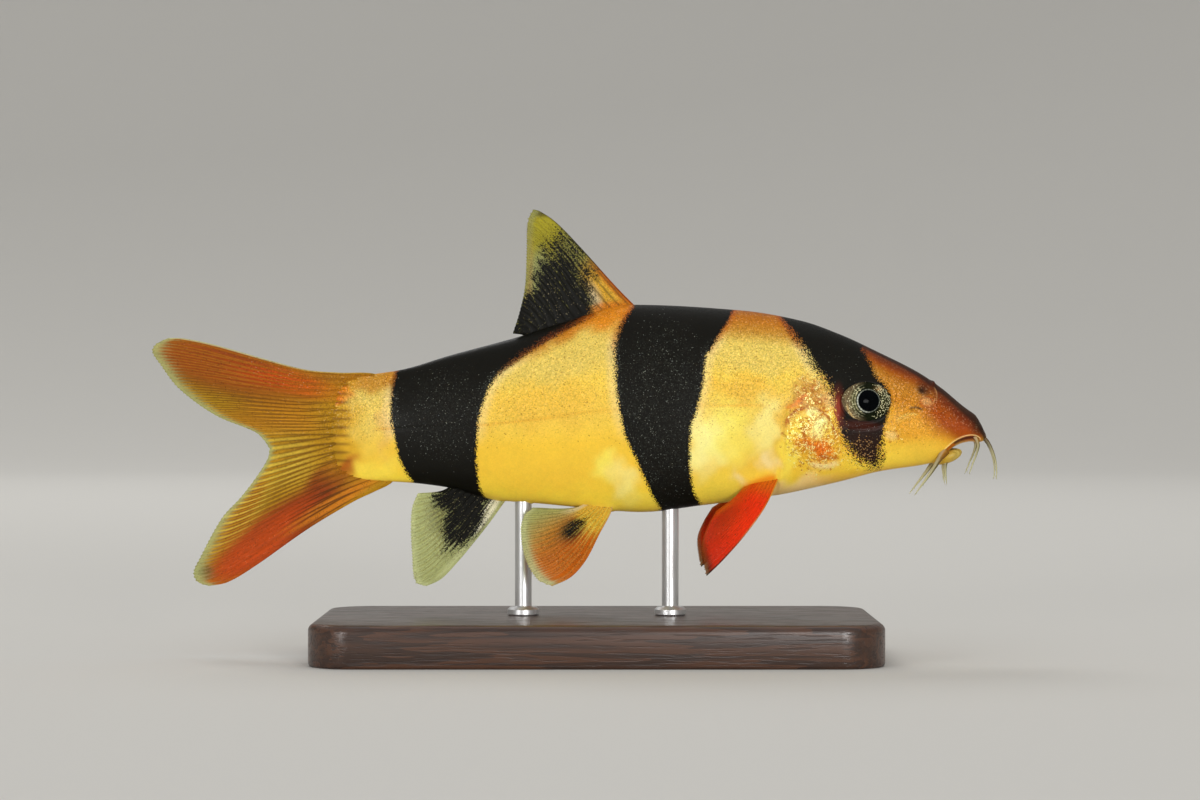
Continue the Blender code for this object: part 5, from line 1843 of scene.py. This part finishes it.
ANAL_WEB = Web(
    lead=(
        (51.2, -6.9), (51.95, -7.9), (53.5, -10.05), (55.4, -12.45), (57.1, -14.45), (58.7, -16.05),
        (60.4, -16.85),
    ),
    margin=((61.5, -16.4), (61.85, -13.2), (61.95, -10.5), (61.8, -8.3)),
    trail=((56.9, -5.5), (58.6, -6.5), (61.2, -6.8)),
    root=((54.0, -6.3),),
    rays=9, plain_rays=2, crowding=1.3,
)
ANAL_LOOK = FinLook(
    chart=Chart.FLANK, base=Paint.LEAF, ray_paint=Paint.CLEAR, ray_strength=0.5,
    tints=(
        Tint((53.75, -9.0), (2.7, 0.58), Paint.IVORY, 1.0, -57, 0.6),
        Tint((56.6, -13.6), (3.6, 0.5), Paint.CLEAR, 0.8, -44),
    ),
    gap_tints=(Tint((60.0, -11.5), (2.4, 5.5), Paint.MOSS, 0.5),),
    ray_tints=(Tint((56.6, -9.0), (3.2, 3.0), Paint.SMOKE, 0.9),),
    inks=(
        Oval((56.3, -7.0), (3.3, 1.9), 1.0, -8, 0.8),
        Oval((56.2, -9.5), (3.4, 1.95), 1.0, -64, 0.9),
        Oval((57.4, -12.2), (2.0, 1.0), 0.5, -55, 1.3),
    ),
    clears=(
        Oval((61.0, -10.6), (2.0, 5.6), 0.8, 0, 0.9),
        Oval((59.6, -15.0), (2.6, 2.2), 0.7),
    ),
    flecks=(Oval((57.0, -10.0), (4.0, 4.0), 1.0),),
    lead_stops=((0.0, Paint.CREAM), (0.2, Paint.CLEAR), (1.0, Paint.LEAF)),
    lead_width=0.5,
    lead_strength=0.5,
    ray_gaps=0.32,
)
TAIL_UPPER_WEB = Web(
    lead=(
        (64.8, 5.3), (65.9, 6.1), (69.5, 6.2), (73.1, 6.5), (77.4, 7.6), (83.1, 9.2), (86.5, 9.9),
        (88.3, 9.95),
    ),
    margin=((89.6, 9.3), (90.0, 8.5), (89.2, 7.2), (87.1, 4.5), (83.1, 1.6), (78.8, -0.2), (77.8, -1.1)),
    trail=((67.7, -0.6), (72.5, -1.32), (77.2, -2.02)),
    root=((67.1, 3.2),),
    rays=11, plain_rays=1, crowding=1.15,
)
TAIL_LOWER_WEB = Web(
    lead=(
        (63.4, -4.9), (64.1, -5.75), (65.9, -6.65), (68.1, -7.7), (73.1, -10.7), (78.8, -14.7),
        (81.7, -16.4), (83.9, -16.85),
    ),
    margin=(
        (85.1, -16.4), (85.5, -15.4), (84.9, -14.0), (82.4, -9.5), (80.3, -7.2), (78.5, -4.85),
        (77.4, -3.05),
    ),
    trail=((67.7, -0.6), (72.5, -1.32), (77.2, -2.02)),
    root=((66.9, -3.6),),
    rays=10, plain_rays=1, crowding=1.15,
)
TAIL_LOOK = FinLook(
    chart=Chart.FLANK, base=Paint.BRASS, ray_paint=Paint.UMBER_RAY, ray_strength=0.7,
    tints=(
        Tint((84.5, 5.0), (4.0, 1.8), Paint.OLIVE, 0.2, 30, 1.2),
        Tint((76.5, 1.6), (5.0, 1.6), Paint.ORANGE, 0.35, 0, 1.2),
        Tint((82.4, 6.9), (9.4, 2.7), Paint.RUST, 0.95, 14, 1.2),
        Tint((74.4, 5.1), (6.0, 1.1), Paint.FLAME, 0.65, 14, 1.2),
        Tint((71.6, 4.2), (3.4, 0.8), Paint.COPPER, 0.6, 12, 1.0),
        Tint((76.2, -10.9), (9.3, 2.3), Paint.RUST, 1.0, -37),
        Tint((78.9, -13.0), (5.4, 1.4), Paint.FLAME, 0.6, -36, 1.2),
        Tint((74.2, -8.8), (3.0, 0.9), Paint.FLAME, 0.4, -40, 1.2),
        Tint((70.7, -4.9), (3.0, 1.4), Paint.RUST, 0.85, -36),
        Tint((69.8, 0.2), (2.5, 4.6), Paint.BRASS, 0.8, 0, 1.3),
        Tint((68.3, 5.8), (4.4, 0.9), Paint.BACK, 0.6, 2),
        Tint((70.2, -7.8), (5.4, 0.7), Paint.ORANGE, 0.85, -31, 1.2),
        Tint((84.3, -15.3), (1.1, 0.8), Paint.SMOKE, 0.75, 0, 1.2),
    ),
    gap_tints=(
        Tint((76.3, -3.0), (3.6, 2.8), Paint.YELLOW, 0.6, 0, 1.0),
        Tint((79.8, -7.6), (5.4, 1.7), Paint.YELLOW, 0.85, -56, 1.0),
        Tint((76.4, 0.4), (4.6, 1.0), Paint.AMBER, 0.6, 0, 1.0),
    ),
    ray_tints=(
        Tint((80.5, 7.0), (9.5, 2.6), Paint.ORANGE, 0.55, 13),
        Tint((78.5, -12.4), (7.0, 2.4), Paint.FLAME, 0.6, -37),
        Tint((80.4, -8.6), (4.4, 1.4), Paint.RUST, 0.8, -56),
        Tint((70.5, -7.3), (5.4, 1.2), Paint.UMBER_RAY, 0.7, -31),
    ),
    flecks=(
        Oval((74.5, 5.8), (6.0, 1.4), 0.9, 14),
        Oval((69.0, 0.5), (3.0, 5.0), 0.9),
        Oval((68.5, 5.6), (4.0, 1.0), 0.9),
    ),
    lead_stops=((0.0, Paint.BRASS), (0.2, Paint.CREAM), (0.5, Paint.CLEAR), (1.0, Paint.CLEAR)),
    lead_width=0.3,
    edge=Paint.LEAF,
    edge_from=0.975,
    cover=0.88,
    ray_from=(0.12, 0.3),
)
PELVIC_WEB = Web(
    lead=(
        (40.0, -7.6, 1.4), (40.4, -8.85, 1.9), (41.55, -10.95, 2.9), (43.05, -13.8, 4.1),
        (44.65, -15.55, 4.9), (46.75, -16.55, 5.3),
    ),
    margin=((48.2, -15.85, 5.2), (49.5, -13.75, 4.7), (50.05, -10.6, 3.6), (49.6, -8.95, 2.8)),
    trail=((42.2, -7.4, 1.1), (44.5, -8.4, 1.7), (48.9, -8.4, 2.5)),
    root=((41.1, -7.5, 1.25),),
    rays=9, plain_rays=1,
)
PELVIC_LOOK = FinLook(
    chart=Chart.FIN, base=Paint.LEAF, ray_paint=Paint.CREAM, ray_strength=0.22,
    tints=(
        Tint((0.3, 0.5), (0.5, 0.5), Paint.ORANGE, 1.0, 0, 0.9),
        Tint((0.2, 0.64), (0.36, 0.36), Paint.COPPER, 1.0, 0, 0.9),
        Tint((0.49, 0.43), (0.2, 0.22), Paint.RUST, 0.7, 0, 1.2),
        Tint((0.49, 0.42), (0.17, 0.17), Paint.EMBER, 0.95, 0, 1.0),
        Tint((0.4, 0.16), (0.6, 0.2), Paint.HONEY, 0.9),
        Tint((0.92, 0.2), (0.1, 0.3), Paint.PEARL, 0.85),
    ),
    gap_tints=(Tint((0.75, 0.75), (0.35, 0.3), Paint.MOSS, 0.4),),
    ray_tints=(Tint((0.3, 0.16), (0.42, 0.27), Paint.LEMON, 0.75, 0, 1.2),),
    inks=(Oval((0.49, 0.42), (0.15, 0.15), 0.62, 0, 1.1),),
    clears=(
        Oval((0.92, 0.8), (0.5, 0.42), 0.8, 0, 0.9),
        Oval((0.5, 1.0), (0.6, 0.1), 0.6),
    ),
    flecks=(Oval((0.4, 0.5), (0.5, 0.4), 0.8),),
    lead_stops=((0.0, Paint.PEARL), (0.3, Paint.ORANGE), (0.8, Paint.COPPER), (1.0, Paint.BRASS)),
    lead_strength=0.6,
    edge_from=0.95,
)
PECTORAL_WEB = Web(
    lead=(
        (22.3, -4.7, 2.6), (22.7, -5.6, 3.8), (24.3, -8.4, 6.3), (26.4, -11.1, 8.0), (28.8, -13.7, 9.1),
        (30.5, -15.3, 9.5),
    ),
    margin=((30.75, -13.75, 8.8), (30.9, -12.5, 8.1), (30.8, -11.5, 7.6), (30.15, -9.95, 6.8)),
    trail=((25.7, -5.6, 2.6), (26.9, -6.8, 4.2), (28.1, -7.7, 5.2), (29.3, -8.5, 6.0)),
    root=((24.0, -4.8, 2.6),),
    rays=11, plain_rays=1,
)
PECTORAL_LOOK = FinLook(
    chart=Chart.FIN, base=Paint.RED, ray_paint=Paint.SNOUT, ray_strength=0.18,
    tints=(
        Tint((0.2, 0.35), (0.4, 0.4), Paint.SCARLET, 0.95, 0, 1.0),
        Tint((0.6, 0.62), (0.3, 0.34), Paint.SNOUT, 0.35, 0, 1.2),
        Tint((1.02, 0.5), (0.22, 0.5), Paint.COPPER, 0.85, 0, 1.0),
        Tint((0.45, 0.1), (0.9, 0.34), Paint.SCARLET, 0.8, 0, 1.0),
        Tint((0.5, 0.0), (1.0, 0.26), Paint.FLAME, 0.9, 0, 0.9),
        Tint((0.7, 0.0), (0.9, 0.1), Paint.ORANGE, 0.8, 0, 1.0),
        Tint((0.4, 0.06), (0.7, 0.14), Paint.ORANGE, 0.5, 0, 1.2),
        Tint((0.95, 0.2), (0.4, 0.4), Paint.FLAME, 0.85, 0, 1.0),
        Tint((1.05, 0.1), (0.3, 0.22), Paint.ORANGE, 0.9, 0, 1.0),
        Tint((0.0, 1.0), (0.4, 0.06), Paint.COAL, 0.85, 0, 1.4),
    ),
    clears=(Oval((1.05, 0.75), (0.12, 0.4), 0.6),),
    lead_stops=(
        (0.0, Paint.YELLOW), (0.3, Paint.ORANGE), (0.5, Paint.TAN), (0.7, Paint.RUST), (0.85, Paint.UMBER),
        (1.0, Paint.COAL),
    ),
    lead_width=0.3,
    edge=Paint.BACK_DEEP,
    edge_from=0.985,
    edge_strength=0.5,
    cover=0.97,
)


def fins(plan: BodyPlan) -> list[Fin]:
    """All fins of the fish.

    Args:
        plan: The body that they grow from.

    Returns:
        The fins, each ready to build.
    """
    tail_nodes = ("tail_fin_upper", "tail_fin_lower")
    made = [
        Fin(plan, "dorsal_fin", "fin_dark", ("dorsal_fin",), (DORSAL_WEB,), DORSAL_LOOK, swell=0.42),
        Fin(plan, "anal_fin", "fin_dark", ("anal_fin",), (ANAL_WEB,), ANAL_LOOK),
        Fin(
            plan, "tail_fin", "fin_amber", tail_nodes, (TAIL_UPPER_WEB, TAIL_LOWER_WEB), TAIL_LOOK,
            columns=17, rows=120, swell=0.36, swell_reach=0.1, ray_width=0.12,
            forks=((0.1, 0.5), (0.4, 0.85)), scallop=0.006,
        ),
    ]
    for side, word in SIDES:
        pelvic, pectoral = f"pelvic_fin_{word}", f"pectoral_fin_{word}"
        made += [
            Fin(plan, pelvic, "fin_amber", (pelvic,), (PELVIC_WEB,), PELVIC_LOOK, side),
            Fin(plan, pectoral, "fin_red", (pectoral,), (PECTORAL_WEB,), PECTORAL_LOOK, side, scallop=0.01),
        ]
    return made


# For each barbel of one side: its line, how dark its front edge is and the radius at its root
BARBELS = {
    "snout_inner": (
        (
            (1.0, -0.5, 0.3), (0.1, -1.0, 0.5), (-0.5, -2.0, 0.65), (-0.9, -3.3, 0.85), (-1.0, -4.5, 1.0),
            (-0.92, -5.25, 1.1),
        ),
        0.9, 0.25,
    ),
    "snout_outer": (
        ((1.5, -0.2, 0.9), (1.0, -1.5, 1.25), (1.25, -2.6, 1.5), (1.65, -3.6, 1.75), (2.05, -4.65, 2.0)),
        0.35, 0.25,
    ),
    "mouth_corner": (
        ((4.6, -2.2, 1.4), (5.4, -3.3, 2.1), (6.2, -4.5, 2.5), (7.1, -5.7, 2.8), (8.0, -6.9, 3.0)),
        0.6, 0.42,
    ),
    "lower_lip": (((4.2, -2.7, 0.8), (4.5, -3.7, 0.95), (4.5, -4.6, 1.05), (4.38, -5.7, 1.15)), 0.2, 0.34),
}


def barbels(plan: BodyPlan) -> list[Barbel]:
    """The eight barbels."""
    return [
        Barbel(plan, f"barbel_{name}_{word}", side, *sizes)
        for name, sizes in BARBELS.items()
        for side, word in SIDES
    ]


@dataclass(frozen=True)
class Stand:
    """The flat walnut base and its two steel rods, each with a collar at its foot."""

    corner: float = 5.0
    edge: float = 0.8
    around: int = 160
    collar_radius: float = 1.7
    collar_height: float = 0.9
    rod_around: int = 64
    least_radius: float = 0.3

    def base(self) -> Piece:
        """Makes and dresses the base, from the size of its solid."""
        low, high = (np.array(corner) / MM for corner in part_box("stand_base"))
        middle, half = (low + high) / 2, (high - low) / 2
        steps = [(0.35, 0.0), (0.1, 0.1), (0.0, 0.35)]
        for k in range(9):
            turn = math.pi / 2 * k / 8
            steps.append((self.edge * (1 - math.cos(turn)), high[2] - self.edge * (1 - math.sin(turn))))
        steps += [(self.edge + 0.4, high[2]), (self.edge + 4.0, high[2])]
        turns = turns_round(self.around, 0.5)
        x, y = np.cos(turns), np.sin(turns)
        rings = []
        for inset, height in steps:
            radius = max(self.corner - inset, self.least_radius)
            flat = half[:2] - inset - radius
            across = middle[0] + np.sign(x) * flat[0] + radius * x
            along = middle[1] + np.sign(y) * flat[1] + radius * y
            rings.append(np.stack([across, along, np.full(self.around, height)], axis=-1))
        piece = Surface.tube("stand_plinth", np.array(rings) * MM)
        piece.data.set_sharp_from_angle(angle=math.radians(50))
        return Surface.register(piece, WoodFinish(), "stand_wood", "stand_base")

    def rod(self, word: str) -> Piece:
        """Makes and dresses one rod, from the place of its solid."""
        low, high = (np.array(corner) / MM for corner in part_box(f"stand_rod_{word}"))
        middle, radius = (low + high) / 2, (high[0] - low[0]) / 2
        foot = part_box("stand_base")[1].z / MM
        collar, top = self.collar_radius, foot + self.collar_height
        steps = [
            (collar - 0.15, foot), (collar, foot + 0.15), (collar, top - 0.25), (collar - 0.25, top),
            (radius + 0.12, top), (radius, top + 0.12), (radius, high[2] + 0.25),
            (radius - 0.1, high[2] + 0.3),
        ]
        piece = Surface.tube(f"stand_post_{word}", Surface.lathe(steps, self.rod_around, middle) * MM)
        piece.data.set_sharp_from_angle(angle=math.radians(30))
        return Surface.register(piece, SteelFinish(), "stand_steel", f"stand_rod_{word}")

    def build(self) -> list[Piece]:
        """Makes the whole stand."""
        return [self.base(), self.rod("front"), self.rod("rear")]


@dataclass(frozen=True)
class Lamp:
    """A round soft light, by its place and size in metres and its power in watts."""

    name: str
    place: Place
    size: float
    power: float
    spread: float = 180.0  # degrees over which its light fans out


@dataclass(frozen=True)
class Studio:
    """Pale cove, soft lights and the camera."""

    flat_radius: float = 0.95
    bend: float = 0.9
    wall: float = 1.2
    around: int = 96
    camera_place: Place = (0.0029, -0.3586, 0.02765)
    lens: float = 100.0
    target: Place = (0.0, 0.0, 0.024)
    lamps: tuple[Lamp, ...] = (
        Lamp("key", (0.32, -1.0, 0.11), 0.26, 0.357, 46.0),
        Lamp("fill", (-0.6, -0.9, 0.12), 0.3, 0.198, 46.0),
        Lamp("top", (0.1, 0.1, 1.1), 0.8, 1.0),
        Lamp("rear", (-0.3, 0.75, 0.8), 0.5, 2.4),
    )
    world_strength: float = 0.6

    def floor(self) -> Piece:
        """Makes the round floor, which curves up into a wall far from the fish."""
        steps = [(max(self.flat_radius * k / 6, 1e-4), 0.0) for k in range(7)]
        for k in range(1, 17):
            turn = math.pi / 2 * k / 16
            steps.append((self.flat_radius + self.bend * math.sin(turn), self.bend * (1 - math.cos(turn))))
        steps.append((self.flat_radius + self.bend, self.wall))
        points = Surface.lathe(steps, self.around).reshape(-1, 3)
        faces = Surface.grid_faces(len(steps), self.around, wrap=True).tolist()
        made = Surface.link("studio_floor", points, faces)
        made.data.materials.append(StudioFinish().shared())
        return made

    def light(self, lamp: Lamp) -> None:
        """Hangs one lamp, turned towards the fish."""
        data = bpy.data.lights.new(lamp.name, "AREA")
        data.shape = "DISK"
        data.size = lamp.size
        data.energy = lamp.power
        data.spread = math.radians(lamp.spread)
        made = bpy.data.objects.new(lamp.name, data)
        away = Vector(lamp.place) - Vector(self.target)
        made.location = lamp.place
        made.rotation_euler = away.to_track_quat("Z", "Y").to_euler()
        made.visible_camera = False
        bpy.context.scene.collection.objects.link(made)

    def build(self) -> None:
        """Sets the floor, the lights, the world and the camera."""
        self.floor()
        for lamp in self.lamps:
            self.light(lamp)
        world = bpy.data.worlds.new("studio")
        world.use_nodes = True
        sky = world.node_tree.nodes["Background"]
        sky.inputs["Color"].default_value = (1.0, 1.0, 1.0, 1.0)
        sky.inputs["Strength"].default_value = self.world_strength
        bpy.context.scene.world = world
        data = bpy.data.cameras.new("camera")
        data.lens = self.lens
        data.sensor_width = 36.0
        data.clip_start = 0.01
        camera = bpy.data.objects.new("camera", data)
        camera.location = self.camera_place
        camera.rotation_euler = (math.pi / 2, 0.0, 0.0)
        bpy.context.scene.collection.objects.link(camera)
        bpy.context.scene.camera = camera
        bpy.context.scene.view_settings.view_transform = "Standard"


def main() -> None:
    """Builds the fish, its stand and the studio."""
    logging.basicConfig(level=logging.INFO, format="%(name)s: %(message)s")
    plan = BodyPlan()
    markings = Markings(plan)
    Skin(plan, markings).build()
    LowerLip(plan).build()
    for side, word in SIDES:
        Eye(plan, word, side).build()
    for part in (*barbels(plan), *fins(plan)):
        part.build()
    Stand().build()
    Studio().build()


if __name__ == "__main__":
    main()
